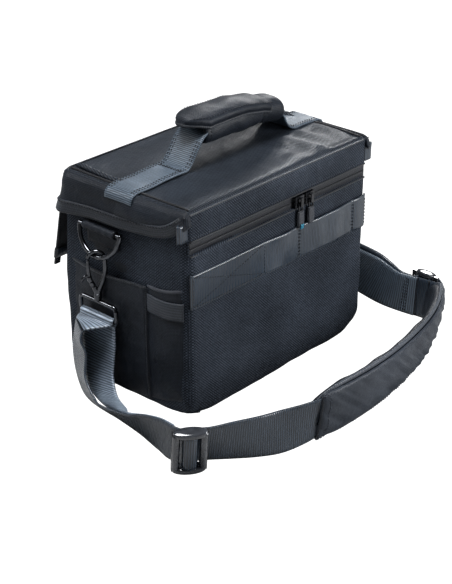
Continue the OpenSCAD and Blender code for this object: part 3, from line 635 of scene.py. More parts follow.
for side, word in ((-1, "left"), (1, "right")):
    # gusset
    t, s = np.meshgrid(np.linspace(0, 1, 34), np.linspace(0, 1, 52))
    yy = -82.0 + 48.0 * t
    low = 24.0 - 13.0 * t
    high = 152.0 - 8.5 * t - 2.2 * np.sin(math.pi * t)
    zz = low + (high - low) * s
    swell = np.sin(math.pi * np.clip(t, 0, 1)) ** 0.7
    waist = 1 - 0.55 * np.exp(-((zz - 123) / 13) ** 2)
    out = 0.9 + swell * (1.2 + 3.4 * np.sin(math.pi * np.clip(s * 0.9, 0, 1)) ** 0.7 * waist)
    gusset = rumpled(on_end(side, yy, zz, out), 26, 2.0, 13, mask=swell)
    finish_piece(fabric("pocket_gusset_cloth_" + word, gusset, soft_black, thick=1.0, offset=0),
                 "root", "soft_black", "pocket_gusset_" + word)
    hem_line = gusset[-1]
    finish_piece(fabric("gusset_hem_" + word, tube_along(hem_line, 1.2, 8, squash=1.7),
                        thread_grey, wrap=True, capped=True), "root", "binding")
    # elastic over the gusset
    t, s = np.meshgrid(np.linspace(0, 1, 30), np.linspace(0, 1, 9))
    yy = -83.5 + 51.0 * t
    zz = 115.5 + 20 * s + 3.2 * (1 - t) - 1.6 * np.sin(math.pi * t)
    out = 2.2 + 2.6 * np.sin(math.pi * t) ** 0.7
    band_cloth = rumpled(on_end(side, yy, zz, out), 22, 0.8, 14)
    finish_piece(fabric("side_elastic_" + word, band_cloth, elastic, thick=1.4, offset=0),
                 "root", "elastic", "side_band_" + word)
    # pocket panel: full at its front fold, flat at the rear seam
    t, s = np.meshgrid(np.linspace(0, 1, 50), np.linspace(0, 1, 60))
    yy = -33.0 + 116.0 * t
    top = np.interp(yy, [-33, -10, 20, 60, 84], [141.5, 141.0, 139.5, 139.5, 141.5])
    zz = 9.0 + (top - 9.0) * s
    full = np.clip((1 - t) * 9, 0, 1) ** 0.5 * np.clip(t * 30 + 0.75, 0, 1)
    lift = np.clip(s * 5, 0, 1) ** 0.6
    out = 1.6 + full * lift * (2.9 + 1.6 * s * np.exp(-((t - 0.35) / 0.4) ** 2))
    mask = lift * np.clip((1 - t) * 10, 0, 1)
    panel = rumpled(on_end(side, yy, zz, out), 48, 3.0, 15, mask=mask, stretch=(1, 1, 1.5))
    panel = rumpled(panel, 15, 0.7, 16, mask=mask)
    finish_piece(fabric("pocket_cloth_" + word, panel, soft_black, thick=1.4, offset=0),
                 "root", "soft_black", "pocket_panel_" + word)
    hem = tube_along(panel[-1], 1.3, 8, squash=1.6)
    finish_piece(fabric("pocket_hem_" + word, hem, binding_tape, wrap=True, capped=True),
                 "root", "binding")
    fold = panel[:, 0]
    back_t = np.linspace(0, 1, 6)[:, None, None]
    tuck = on_end(side, np.full(len(fold), -35.5), fold[:, 2], 0.4)
    turn = fold[None] * (1 - back_t) + tuck[None] * back_t
    finish_piece(fabric("pocket_fold_" + word, turn, soft_black, thick=1.0, offset=0), "root",
                 "soft_black")
    finish_piece(fabric("pocket_fold_edge_" + word, tube_along(fold, 1.0, 8), binding_tape,
                        wrap=True, capped=True), "root", "binding")
    outward = (side, 0, 0)
    runs = [track(panel, [0.955, 0.955], [0.01, 0.99], 0.9, flip=side > 0, count=120),
            track(panel, [0.81, 0.81], [0.01, 0.99], 0.9, flip=side > 0, count=120),
            track(panel, [0.02, 0.95], [0.03, 0.03], 0.9, flip=side > 0, count=120),
            track(panel, [0.02, 0.02], [0.02, 0.98], 0.9, flip=side > 0, count=120),
            track(gusset, [0.93, 0.93], [0.03, 0.97], 0.7, flip=side > 0, count=60),
            track(band_cloth, [0.07, 0.07], [0.02, 0.98], 0.9, flip=side > 0, count=60),
            track(band_cloth, [0.93, 0.93], [0.02, 0.98], 0.9, flip=side > 0, count=60)]
    stitched("pocket_stitches_" + word, [(p, outward) for p, n in runs], thread_grey, "root")
    # ring patch
    t, s = np.meshgrid(np.linspace(0, 1, 40), np.linspace(0, 1, 28))
    yy = -12.5 + 80.0 * t
    zz = 146.0 + 56.0 * s
    base = on_end(side, yy, zz, np.full(yy.shape, 0.6))
    up, down = (0.4, 3.6) if side > 0 else (3.6, 0.4)
    faces = padded_faces(rumpled(base, 30, 0.8, 17), up, down, 4)
    patch_cloth = joined("ring_patch_cloth_" + word, *faces, soft_black)
    finish_piece(patch_cloth, "root", "soft_black", "ring_patch_" + word)
    # roll of cloth round the bar of the ring, with its sewn tail below
    bar = np.column_stack([np.full(24, side * 153.5), np.linspace(4.5, 51.5, 24),
                           np.full(24, 190.0)])
    radius = 4.4 + 0.25 * np.sin(np.arange(24) * 1.3)
    finish_piece(fabric("ring_roll_cloth_" + word, tube_along(bar, radius, 14), soft_black,
                        wrap=True, capped=True), "root", "soft_black", "ring_roll_" + word)
    tail = np.array([[[side * (148.3 + d), y, z] for y in np.linspace(5, 51, 18)]
                     for d, z in ((3.4, 187), (1.5, 184), (0.9, 180), (0.8, 174), (0.6, 170))])
    finish_piece(fabric("ring_roll_tail_" + word, rumpled(tail, 14, 0.5, 18), soft_black,
                        thick=1.4, offset=0), "root", "soft_black")
    # corner tab: a short loop of webbing caught in the corner seam
    loop = [(143.0, -86.9), (150, -87.4), (156, -87.3), (159.6, -86.4), (160.6, -85.2),
            (159.4, -84.2), (155, -83.6), (149, -83.6), (143.0, -84.4)]
    loop = curve_through([(side * (143 + 0.74 * (x - 143)), y) for x, y in loop], 4)
    rows = [np.column_stack([loop, np.full(len(loop), z)]) for z in np.linspace(208.4, 227.2, 8)]
    finish_piece(fabric("corner_tab_loop_" + word, rumpled(rows, 12, 0.4, 19), webbing,
                        thick=1.3, offset=0), "root", "webbing", "corner_tab_" + word)

# Piping where the ends meet the front.
for side, word in ((-1, "left"), (1, "right")):
    z = np.linspace(2, 234, 90)
    cut = 0.72 * foot_inset(HALF_W, -HALF_D, z)
    seam = np.column_stack([side * (142.2 - cut + 0.25 * np.sin(z / 9)), -86.3 + cut, z])
    piping = fabric("front_corner_piping_" + word, tube_along(seam[:82], 0.9, 8), ballistic,
                    wrap=True, capped=True)
    finish_piece(piping, "root", "ballistic")

# ---- Lid ----
# A soft padded panel of fine ribbed cloth with a rolled edge. Padded skirts hang from it over
# both ends and the rear, and a stitched binding runs along their lower edge.


def lid_height(x, y):
    return 238.2 + 3.4 * (1 - (np.clip(x, -146, 146) / 147) ** 2) * (
        1 - (np.clip(y - 1, -88, 88) / 90) ** 4)


xx, yy = np.meshgrid(np.linspace(-144.5, 144.5, 110), np.linspace(-87.2, 90, 70))
base = np.stack([xx, yy, np.full(xx.shape, 233.2)], axis=-1)
lift = lid_height(xx, yy) - 233.2
near = np.minimum(144.5 - np.abs(xx), np.minimum(yy + 87.2, 90 - yy))
roll = np.sqrt(1 - (1 - np.clip(near / 6.5, 0, 1)) ** 2)
pad_up = base + np.stack([0 * xx, 0 * xx, lift * roll], axis=-1)
soft = np.clip((near - 3) / 12, 0, 1)
pad_up = rumpled(pad_up, 55, 3.2, 21, mask=soft, stretch=(1.5, 0.7, 1))
under_web = np.clip((np.abs(yy) - 20) / 10, 0.15, 1)
right_side = soft * np.clip((xx - 10) / 60, 0, 1) * under_web
pad_up = rumpled(pad_up, 24, 5.2, 22, mask=right_side, stretch=(0.75, 2.0, 1))
pad_up = rumpled(pad_up, 12, 0.45, 23, mask=soft)
pad_down = base - np.stack([0 * xx, 0 * xx, 2.4 * roll], axis=-1)
lid_pad = joined("lid_pad", pad_up, pad_down, ribbed)
finish_piece(lid_pad, "lid", "ribbed", "lid_top")
rim_pts = rounded_outline(145.2, -87.9, 90.6, 7.0)[0]
edge_path = np.column_stack([rim_pts, np.full(len(rim_pts), 234.9)])
finish_piece(fabric("lid_piping", tube_along(edge_path, 1.25, 8, True), binding_tape, wrap=True),
             "lid", "binding")
for side, word in ((-1, "left"), (1, "right")):
    at = 0.042 if side < 0 else 0.958
    roll_path = track(pad_up, [0.53, 0.955], [at, at], 0.0, count=50)[0] + (0, 0, 1.6)
    thick_at = 3.2 * np.clip(np.minimum(np.arange(50), 49 - np.arange(50)) / 6, 0.2, 1) ** 0.5
    finish_piece(fabric("lid_end_roll_" + word, tube_along(roll_path, thick_at, 12), ribbed,
                        wrap=True, capped=True), "lid", "ribbed")
    # A dark strip along each end of the lid's top, where the ribbed top ends: painted shadow of the
    # gap under the rolled edge.
    at = 0.022 if side < 0 else 0.978
    seam_shadow_path = track(pad_up, [0.02, 0.97], [at, at], 0.0, count=90)[0] + (0, 0, 0.3)
    finish_piece(fabric("lid_end_seam_shadow_" + word, tube_along(seam_shadow_path, 1.5, 8), thread_black,
                        wrap=True, capped=True), "lid", "binding")
xx, yy = np.meshgrid(np.linspace(-138, 138, 93), np.linspace(-80, 82, 55))
quilt = np.abs(np.sin((xx + 138) / 276 * math.pi * 4))
quilt = quilt * np.abs(np.sin((yy + 80) / 162 * math.pi * 3))
base = np.stack([xx, yy, 230.0 - 2.0 * quilt ** 0.4], axis=-1)
under_lid = fabric("lid_lining_cloth", base, brushed_lining, thick=1.0, offset=0)
finish_piece(under_lid, "lid", "lining", "lid_lining")

skirt_line = [(-142.5, -88.8), (-145.2, -88.6), (-147.4, -87.4)]
skirt_line += [(-148.6, y) for y in np.arange(-84.5, 80.1, 2.5)]
skirt_line += [(-134.6 - 14 * math.cos(a), 78 + 14 * math.sin(a))
               for a in np.linspace(0.1, math.pi / 2, 12)]
skirt_line += [(x, 92.0) for x in np.arange(-131, 131.1, 4.0)]
skirt_line += [(134.6 + 14 * math.cos(a), 78 + 14 * math.sin(a))
               for a in np.linspace(math.pi / 2, 0.1, 12)]
skirt_line += [(148.6, y) for y in np.arange(80, -84.6, -2.5)]
skirt_line += [(147.4, -87.4), (145.2, -88.6), (142.5, -88.8)]
skirt_line = np.array(skirt_line)
skirt_run = np.concatenate([[0], np.cumsum(np.linalg.norm(np.diff(skirt_line, axis=0), axis=1))])
SKIRT = skirt_run[-1]
ahead = np.gradient(skirt_line, axis=0)
skirt_out = np.column_stack([-ahead[:, 1], ahead[:, 0]])
skirt_out /= np.linalg.norm(skirt_out, axis=1, keepdims=True)
if skirt_out[9, 0] > 0:
    skirt_out = -skirt_out


def skirt_low_at(s):
    """Height of the skirt's lower edge, by distance from its nearer front end."""
    near_end = np.minimum(s, SKIRT - s)
    return np.interp(near_end, [0, 3, 6, 10, 15, 22, 32, 46, 85, 130, 168, 186, 200, 240],
                     [226.5, 225, 222.5, 219, 215.6, 211.5, 207.6, 204.6, 201, 199.5, 197, 194.5,
                      196, 198.5])


def skirt_at(s, z, lift=0.0):
    """A point on the skirt at a distance along it and a height."""
    s, z = np.broadcast_arrays(np.asarray(s, float), np.asarray(z, float))
    x = np.interp(s, skirt_run, skirt_line[:, 0])
    y = np.interp(s, skirt_run, skirt_line[:, 1])
    nx = np.interp(s, skirt_run, skirt_out[:, 0])
    ny = np.interp(s, skirt_run, skirt_out[:, 1])
    drop = np.clip((237.5 - z) / 38, 0, 1.2)
    shape = np.interp(drop, [0, 0.04, 0.12, 0.3, 0.55, 0.75, 1.0, 1.2],
                      [-4.5, -2.2, 0.2, 2.2, 2.3, 1.4, 2.0, 2.6])
    near_end = np.minimum(s, SKIRT - s)
    flare = 7.5 * np.exp(-((near_end - 178) / 26) ** 2) * np.clip(drop - 0.25, 0, 1) ** 1.3
    flare += 2.5 * np.exp(-((near_end - 95) / 40) ** 2) * np.clip(drop - 0.3, 0, 1)
    out = shape + flare + lift
    return np.stack([x + nx * out, y + ny * out, z], axis=-1)


s_line = np.unique(np.concatenate([np.linspace(0, 30, 22), np.linspace(30, SKIRT - 30, 200),
                                   np.linspace(SKIRT - 30, SKIRT, 22)]))
rows = np.concatenate([np.linspace(0, 0.2, 6), np.linspace(0.27, 1, 18)])
ss, tt = np.meshgrid(s_line, rows)
zz = 237.8 + (skirt_low_at(ss) - 237.8) * tt
skirt_cloth = skirt_at(ss, zz)
skirt_mask = np.clip(np.minimum(tt, 1.02 - tt) * 6, 0, 1)
skirt_mask = skirt_mask * np.clip(np.minimum(ss, SKIRT - ss) / 14, 0, 1)
skirt_cloth = rumpled(skirt_cloth, 34, 4.0, 25, mask=skirt_mask, stretch=(1.4, 1.4, 0.7))
skirt = fabric("lid_skirt", skirt_cloth, soft_black, thick=3.2, offset=0)
finish_piece(skirt, "lid", "soft_black", "skirt_left", "skirt_right", "skirt_rear")

# The binding follows the lower edge, folded over it from outside to inside.
edge_line = np.column_stack([s_line, skirt_low_at(s_line)])
edge_ahead = np.gradient(edge_line, axis=0)
edge_in = np.column_stack([-edge_ahead[:, 1], edge_ahead[:, 0]])
edge_in /= np.linalg.norm(edge_in, axis=1, keepdims=True)
bind_rows = []
for width, lift in ((12.0, 1.7), (11.6, 2.5), (9, 2.7), (6, 2.7), (3, 2.8), (0.6, 2.7),
                    (-0.9, 1.6), (-1.2, 0.0), (-0.9, -1.6), (0.6, -2.6), (4, -2.6)):
    q = edge_line + edge_in * width
    q[:, 1] = np.minimum(q[:, 1], 237.0)
    ends = np.clip(np.minimum(s_line, SKIRT - s_line) / 10, 0.2, 1)
    bind_rows.append(skirt_at(np.clip(q[:, 0], 0, SKIRT), q[:, 1], lift * ends))
binding = fabric("skirt_binding", bind_rows, binding_tape, thick=0.8, offset=0)
finish_piece(binding, "lid", "binding", "binding_left", "binding_right")
q = edge_line + edge_in * 10.4
bind_seam = skirt_at(np.clip(q[:, 0], 0, SKIRT), np.minimum(q[:, 1], 236.5), 3.3)
bind_nor = np.column_stack([np.interp(s_line, skirt_run, skirt_out[:, 0]),
                            np.interp(s_line, skirt_run, skirt_out[:, 1]), 0 * s_line])
stitched("binding_stitches", [(bind_seam, bind_nor)], thread_black, "lid", fat=0.7)

# ---- Handle ----
# Ribbed webbing runs over the lid from end to end and rises through a padded grip, which has
# a soft flap over it that opens to the rear.
line = [(-153.0, 229.5), (-152.4, 234.5), (-149.6, 238.4)]
line += [(x, lid_height(x, 0) + 1.9) for x in (-144, -130, -115, -100, -85, -76)]
line += [(-69, 243.2), (-62, 250), (-55, 259.5), (-47, 269), (-38, 274.5), (-25, 276), (0, 276),
         (40, 275), (64, 272.5), (76, 268.5), (84, 261.5), (89, 253), (95, 245.5)]
line += [(x, lid_height(x, 0) + 1.9) for x in (104, 112, 125, 138, 144)]
line += [(149.6, 238.4), (152.4, 234.5), (153.0, 229.5)]
line = curve_through(line, 7)
across = np.linspace(-19, 19, 13)
web_rows = np.array([[[x, y, z - 0.3 * (y / 19) ** 4] for y in across] for x, z in line])
web_rows = rumpled(web_rows, 22, 0.9, 31)
# The handle's webbing is coloured lighter than the other webbing: painted light for the bright
# sheen on its risers.
handle_webbing_lit = cloth("handle_webbing_lit", (0.020, 0.026, 0.035), (0.165, 0.210, 0.262),
                     2.0, 9.0, 0.0, 0.10, 0.42, 0.05, creases=0.0004, gloss=0.40, rib=1.0)
handle = fabric("handle_webbing_strip", web_rows.transpose(1, 0, 2), handle_webbing_lit, thick=2.0,
                offset=0)
finish_piece(handle, "lid", "webbing", "handle_webbing")
x_of = web_rows[:, 6, 0]


def share(x, last=False):
    hits = np.where(np.diff(np.sign(x_of - x)))[0]
    return hits[-1 if last else 0] / (len(x_of) - 1)


left_end, right_start, right_end = share(-148), share(98, True), share(148, True)
runs = []
for edge_at in (0.05, 0.13, 0.87, 0.95):
    runs.append(track(web_rows, [left_end, share(-45)], [edge_at, edge_at], 1.2, flip=True))
    runs.append(track(web_rows, [right_start, right_end], [edge_at, edge_at], 1.2, flip=True))
for q in (share(-76), share(-79), share(103, True), share(106, True)):
    runs.append(track(web_rows, [q, q], [0.03, 0.97], 1.2, flip=True, count=30))
stitched("handle_stitches", runs, thread_black, "lid", fat=0.65)


def pill_ring(x, z, half_wide, half_high, turns):
    """A ring of points round the grip, flatter above and below."""
    wide, high = np.cos(turns), np.sin(turns)
    return np.column_stack([np.full(len(turns), x),
                            half_wide * np.sign(wide) * np.abs(wide) ** 0.78,
                            z + half_high * np.sign(high) * np.abs(high) ** 0.86])


turns = np.linspace(0, 2 * math.pi, 44, endpoint=False)
grip_rows = []
for x in np.concatenate([[-39.6, -39.8, -39], np.linspace(-37, 81, 52), [83, 83.8, 83.6]]):
    t = (x + 40) / 124
    mouth = 1 - 0.10 * np.exp(-((x + 41) / 3) ** 2) - 0.10 * np.exp(-((x - 85) / 3) ** 2)
    belly = 1 + 0.05 * math.sin(math.pi * min(max(t, 0), 1))
    z = 272.5 - 4.5 * max(0, (x - 30) / 50) ** 2
    grip_rows.append(pill_ring(x, z, 18.5 * mouth * belly, 12.0 * mouth * belly, turns))
grip_rows[0] = grip_rows[0] * [1, 0.82, 1] + [1.6, 0, 0]
grip_rows[-1] = grip_rows[-1] * [1, 0.82, 1] - [1.6, 0, 0]
for k in (0, -1):
    centre = grip_rows[k].mean(0)
    grip_rows[k] = centre + (grip_rows[k] - centre) * [1, 1.0, 0.8]
grip_rows = rumpled(grip_rows, 26, 2.4, 33, True, stretch=(0.7, 1.3, 1.3))
grip_rows = rumpled(grip_rows, 9, 0.5, 34, True)
seam_row = int(0.70 * len(grip_rows))
centre = grip_rows[seam_row].mean(0)
grip_rows[seam_row] = centre + (grip_rows[seam_row] - centre) * 0.965
grip = fabric("handle_grip_pad", grip_rows, soft_black, wrap=True, thick=3.0, offset=0)
finish_piece(grip, "lid", "soft_black", "handle_grip")
grip_runs = [(grip_rows[k], grip_rows[k] - grip_rows[k].mean(0)) for k in (4, seam_row + 1)]
stitched("grip_stitches", [(p + n / np.linalg.norm(n, axis=1, keepdims=True) * 1.6, n)
                           for p, n in grip_runs], thread_black, "lid")

xx, tt = np.meshgrid(np.concatenate([np.linspace(-60.5, -50, 8), np.linspace(-47, 60, 50),
                                     np.linspace(62, 71.5, 8)]), np.linspace(-1, 1, 24))
reach = 20.5 * np.clip((xx + 62) / 26, 0, 1) ** 0.55 * np.clip((74 - xx) / 15, 0, 1) ** 0.4
yy = tt * reach
flap_mid = np.interp(xx, [-61, -46, -30, 0, 20, 50, 62, 72], [285, 288, 289.5, 289, 288, 283, 279,
                                                             274])
zz = flap_mid - 7.0 * (np.abs(yy) / 20) ** 2.2
flap_sheet = rumpled(np.stack([xx, yy, zz], -1), 34, 2.0, 36)
flap_top, flap_under = padded_faces(flap_sheet, 6.6, 1.8, 6.0)
if flap_top[12, 30, 2] < flap_under[12, 30, 2]:
    flap_under, flap_top = padded_faces(flap_sheet, 1.8, 6.6, 6.0)
flap_top = rumpled(flap_top, 17, 1.0, 37, mask=1 - np.abs(tt) ** 6)
flap = joined("grip_flap_cloth", flap_top, flap_under, soft_black)
finish_piece(flap, "grip_flap", "soft_black", "grip_flap")
border = np.concatenate([flap_sheet[0], flap_sheet[1:, -1], flap_sheet[-1, ::-1][1:],
                         flap_sheet[::-1, 0][1:-1]])
finish_piece(fabric("grip_flap_edge", tube_along(border, 1.7, 8, True), binding_tape, wrap=True),
             "grip_flap", "binding")
runs = []
for rows, cols in (([0.13, 0.13], [0.05, 0.95]), ([0.87, 0.87], [0.05, 0.95])):
    p, m = track(flap_top, rows, cols, 0.0, count=200)
    m = m * np.sign(m[100, 2])
    runs.append((p + m * 0.3, m))
stitched("flap_stitches", runs, thread_black, "grip_flap", fat=0.5)

# ---- Rings and hooks ----
# A plated ring on each end carries a snap hook: a bent spine with a fork and collar, a sprung
# gate with its lever, and under them a swivelling frame that the strap is sewn round.
HOOK_OUT, HOOK_REAR = 160.0, 28.0
EYE_UP, EYE_RADIUS = 158.4, 8.9


def hard(name, base, bright, rough, metal, coat, scratch):
    """A moulded or plated finish with fine rubbed scratches."""
    finish = bpy.data.materials.new(name)
    finish.use_nodes = True
    tree = finish.node_tree
    skin = tree.nodes["Principled BSDF"]
    skin.inputs["Metallic"].default_value = metal
    skin.inputs["Coat Weight"].default_value = coat
    skin.inputs["Coat Roughness"].default_value = 0.12
    worn = tree.nodes.new("ShaderNodeGroup")
    worn.node_tree = wear
    worn.inputs["Patch"].default_value = 90.0
    worn.inputs["Crease"].default_value = scratch
    albedo_mix = tree.nodes.new("ShaderNodeMix")
    albedo_mix.data_type = "RGBA"
    albedo_mix.inputs[6].default_value = (*base, 1)
    albedo_mix.inputs[7].default_value = (*bright, 1)
    tree.links.new(worn.outputs["Rub"], albedo_mix.inputs[0])
    tree.links.new(albedo_mix.outputs[2], skin.inputs["Base Color"])
    tree.links.new(add_math(tree, "ADD", rough - 0.06, add_math(
        tree, "MULTIPLY", worn.outputs["Creases"], 0.14)), skin.inputs["Roughness"])
    relief = tree.nodes.new("ShaderNodeBump")
    relief.inputs["Distance"].default_value = 0.00006
    tree.links.new(worn.outputs["Creases"], relief.inputs["Height"])
    tree.links.new(relief.outputs["Normal"], skin.inputs["Normal"])
    return finish


gunmetal = hard("gunmetal", (0.045, 0.048, 0.055), (0.20, 0.21, 0.23), 0.17, 1.0, 0.4, 600.0)
black_metal = hard("black_metal", (0.012, 0.013, 0.016), (0.06, 0.063, 0.072), 0.25, 0.6, 0.6,
                   700.0)
adjuster_black = hard("adjuster_black", (0.014, 0.015, 0.018), (0.05, 0.053, 0.06), 0.22, 0.3, 0.7,
                      300.0)
for name, part in nodes.items():
    plating = None
    if name.startswith(("ring_left", "ring_right", "hook", "gate")):
        plating = gunmetal
    elif "slider" in name or "pull" in name:
        plating = black_metal
    elif name.startswith("adjuster"):
        plating = adjuster_black
    if plating:
        for k in range(max(1, len(part.material_slots))):
            if part.material_slots:
                part.material_slots[k].material = plating
            else:
                part.data.materials.append(plating)
        softened = part.modifiers.new("rounded_edges", "BEVEL")
        softened.width, softened.segments = 0.0010, 3
        softened.harden_normals = True
        softened.limit_method, softened.angle_limit = "ANGLE", math.radians(40)
        part.data.polygons.foreach_set("use_smooth", [True] * len(part.data.polygons))


def at_hook(side, local):
    """Points given across and up in the flat of a hook, which is turned to the case's end."""
    local = np.asarray(local, float)
    turn = math.radians(-48)
    return np.column_stack([side * (HOOK_OUT - local[:, 0] * math.cos(turn)),
                            HOOK_REAR + local[:, 0] * math.sin(turn), local[:, 1]])


for side, word in ((-1, "left"), (1, "right")):
    a = np.radians(np.linspace(172, 0, 16))
    spine = np.column_stack([EYE_RADIUS * np.cos(a), EYE_UP + EYE_RADIUS * np.sin(a)]).tolist()
    spine += [(9.0, 152), (9.0, 146), (7.9, 140), (5.6, 133), (3.2, 127), (1.2, 121.5), (0, 117)]
    spine = curve_through(spine, 3)
    wire = np.interp(spine[:, 1], [116, 124, 140, 152, 168], [3.6, 3.0, 2.6, 2.4, 2.2])
    finish_piece(fabric("hook_spine_" + word, tube_along(at_hook(side, spine), wire, 14),
                        gunmetal, wrap=True, capped=True), "ring_" + word, "gunmetal",
                 "hook_" + word)
    parts_of = {
        "fork": ([(-8.4, 138.5), (-7.4, 134), (-4.6, 128.5), (-1.8, 122.5), (0, 117)],
                 [2.8, 2.8, 2.7, 2.9, 3.4], "ring_"),
        "collar": ([(0, 119.2), (0, 118.8), (0, 117), (0, 114), (0, 111.5), (0, 111.2)],
                   [2.4, 4.1, 4.4, 4.3, 4.0, 2.4], "ring_"),
        "gate": ([(-8, 138), (-8.6, 145), (-9.0, 151), (-8.8, 157.4)], [2.2, 1.9, 1.7, 1.5],
                 "gate_"),
        "lever": ([(-8.6, 139.4), (-12, 138.2), (-14.8, 135.6), (-16.4, 132.6)],
                  [2.2, 1.9, 1.7, 1.6], "gate_")}
    for label, (points, thick_at, body) in parts_of.items():
        line = curve_through(points, 5)
        thick_at = np.interp(np.linspace(0, 1, len(line)), np.linspace(0, 1, len(thick_at)),
                             thick_at)
        rod = fabric("hook_%s_%s" % (label, word), tube_along(at_hook(side, line), thick_at, 14),
                     gunmetal, wrap=True, capped=True)
        finish_piece(rod, body + word, "gunmetal", *(["gate_" + word] if label == "gate" else []))
    frame_line = rounded_outline(26.6, -8.9, 8.9, 5.0, corner=6)[0]
    frame_path = np.column_stack([np.full(len(frame_line), side * HOOK_OUT),
                                  HOOK_REAR + frame_line[:, 0], 100.8 + frame_line[:, 1]])
    finish_piece(fabric("hook_frame_" + word, tube_along(frame_path, 2.35, 12, True), gunmetal,
                        wrap=True), "hook_base_" + word, "gunmetal", "hook_base_" + word)

# ---- Main zip, its tails and the front pulls ----
# The lid's zip runs round the rear under the skirt, and its ends hang as tails at both rear
# corners. The pulls of the front zip have ribbed rubber grips, the left one with a blue tag.
xx, zz = np.meshgrid(np.linspace(-128, 128, 90), np.linspace(183, 201, 8))
rear_puff = (1 - (xx / 144) ** 4) * 4.5 * np.sin(math.pi * zz / 215) ** 0.6
tape = rumpled(np.stack([xx, 89.2 + rear_puff, zz], -1), 40, 0.8, 41)
finish_piece(fabric("main_zip_tape_cloth", tape, zip_tape, thick=0.9, offset=0), "root",
             "zip_tape", "main_zip_tape")
coil_x = np.arange(-127, 127, 0.5)
coil_y = 90.2 + (1 - (coil_x / 144) ** 4) * 4.5 * math.sin(math.pi * 192 / 215) ** 0.6
coil_path = np.column_stack([coil_x, coil_y, np.full(len(coil_x), 192.0)])
coil_radius = 1.0 + 0.35 * np.sin(coil_x * 2 * math.pi / 2.0)
finish_piece(fabric("main_zip_coil", tube_along(coil_path, coil_radius, 8), thread_black,
                    wrap=True, capped=True), "root", "zip_tape")

TAIL_TOP = (138.0, 91.5, 197.5)
LEAN = math.radians(11.5)


def on_tail(side, across, out, down):
    """A point on a tail: across it, out from its middle to the rear, and down from its top."""
    across, out, down = (np.asarray(v, float) for v in np.broadcast_arrays(across, out, down))
    return np.stack([side * TAIL_TOP[0] + across,
                     TAIL_TOP[1] + out * math.cos(LEAN) + down * math.sin(LEAN),
                     TAIL_TOP[2] + out * math.sin(LEAN) - down * math.cos(LEAN)], axis=-1)


for side, word in ((-1, "left"), (1, "right")):
    aa, dd = np.meshgrid(np.linspace(-11, 11, 13), np.linspace(-2, 66, 36))
    bow = 0.5 * np.sin(dd / 66 * math.pi * 2)
    tail = rumpled(on_tail(side, aa, bow * 0.4, dd), 20, 0.6, 43)
    tail_cloth = fabric("zip_tail_cloth_" + word, tail, zip_tape, thick=1.8, offset=0)
    finish_piece(tail_cloth, "root", "zip_tape", "zip_tail_" + word)
    for edge_at in (-1, 1):
        strip = on_tail(side, edge_at * 10.6, 0.0, np.linspace(0, 66, 30))
        finish_piece(fabric("zip_tail_edge_%s_%s" % (word, "a" if edge_at < 0 else "b"),
                            tube_along(strip, 1.1, 8), binding_tape, wrap=True, capped=True),
                     "root", "binding")
    end_tab = np.array([on_tail(side, np.linspace(-11.4, 11.4, 12), o, d) for o, d in (
        (-1.6, 55), (-1.8, 60), (-1.5, 66.4), (0.0, 67.4), (1.5, 66.4), (1.8, 60), (1.6, 55))])
    finish_piece(fabric("zip_tail_end_" + word, end_tab, webbing, thick=0.7, offset=0), "root",
                 "webbing")
    down = np.arange(0, 54, 0.5)
    coil = tube_along(on_tail(side, 0.0, 1.1, down), 0.9 + 0.3 * np.sin(down * 3.14), 8)
    finish_piece(fabric("zip_tail_coil_" + word, coil, thread_black, wrap=True, capped=True),
                 "root", "zip_tape")

rubber = cloth("rubber_grip", (0.020, 0.022, 0.027), (0.075, 0.082, 0.098),
               40.0, 1.6, 0.0, 0.6, 0.5, 0.1)
for x, word in ((25.0, "left"), (42.0, "right")):
    rows = []
    for z, wide, thick in ((-7.6, 3.2, 1.2), (-8.4, 4.3, 1.8), (-12, 4.7, 2.2), (-18, 5.0, 2.4),
                           (-23, 4.8, 2.3), (-26.2, 4.0, 1.9), (-27.2, 2.8, 1.1)):
        a = np.linspace(0, 2 * math.pi, 18, endpoint=False)
        rows.append(np.column_stack([
            x + wide * np.sign(np.cos(a)) * np.abs(np.cos(a)) ** 0.6,
            -93.4 + thick * np.sign(np.sin(a)) * np.abs(np.sin(a)) ** 0.7,
            np.full(18, 196.1 + z)]))
    rows = curve_through(rows, 4)
    grip_piece = fabric("front_pull_grip_" + word, rows, rubber, wrap=True, capped=True)
    finish_piece(grip_piece, "front_pull_" + word, "black_metal")
blue = cloth("blue_tag_cloth", (0.01, 0.10, 0.16), (0.03, 0.34, 0.50),
             0.7, 0.7, 0.0, 0.1, 0.5, 0.3)
tag = np.array([[[x, -95.9 - 0.5 * math.sin((z - 170) / 3), z]
                 for x in np.linspace(22.2, 27.4, 6)] for z in np.linspace(168.2, 173.6, 8)])
finish_piece(fabric("blue_tag", tag, blue, thick=0.8, offset=0), "front_pull_left", "webbing")

# ---- Shoulder strap ----
# 50 mm ribbed nylon webbing, 2.2 mm thick. It hangs from each hook in two layers, stands on
# its edge on the ground round the front of the case, and threads through two adjusters.
STRAP_LEFT = [
    [[-161, 62, 78], [-186, 26, 85]], [[-163, 64, 62], [-190, 24, 75]],
    [[-165, 65, 44], [-189, 18, 61]], [[-169, 57, 18], [-196, 13, 38]],
    [[-178, 36, 3], [-204, -8, 25]], [[-185, 6, 1], [-213, -27, 27]],
    [[-189, -30, 1], [-214, -62, 32]], [[-194, -64, 1], [-213, -88, 41]],
    [[-202, -96, 1], [-213, -112, 46]], [[-209, -118, 2], [-217, -132, 49]],
    [[-210, -132, 4], [-218, -146, 51]]]
RETURN_LEFT = [
    [[-160, 52, 86], [-160, 4, 86]], [[-160, 53, 64], [-161, 3, 64]],
    [[-161, 53, 42], [-164, 3, 45]], [[-164, 48, 22], [-169, 0, 30]],
    [[-172, 32, 7], [-179, -16, 19]], [[-180.5, 4, 3], [-190.5, -42, 20]],
    [[-184, -32, 2], [-208.5, -62, 31]], [[-189.5, -65, 2], [-208.5, -88, 39]],
    [[-197.5, -96, 2], [-208.8, -111, 44]], [[-204, -117, 3], [-212, -131, 47]]]
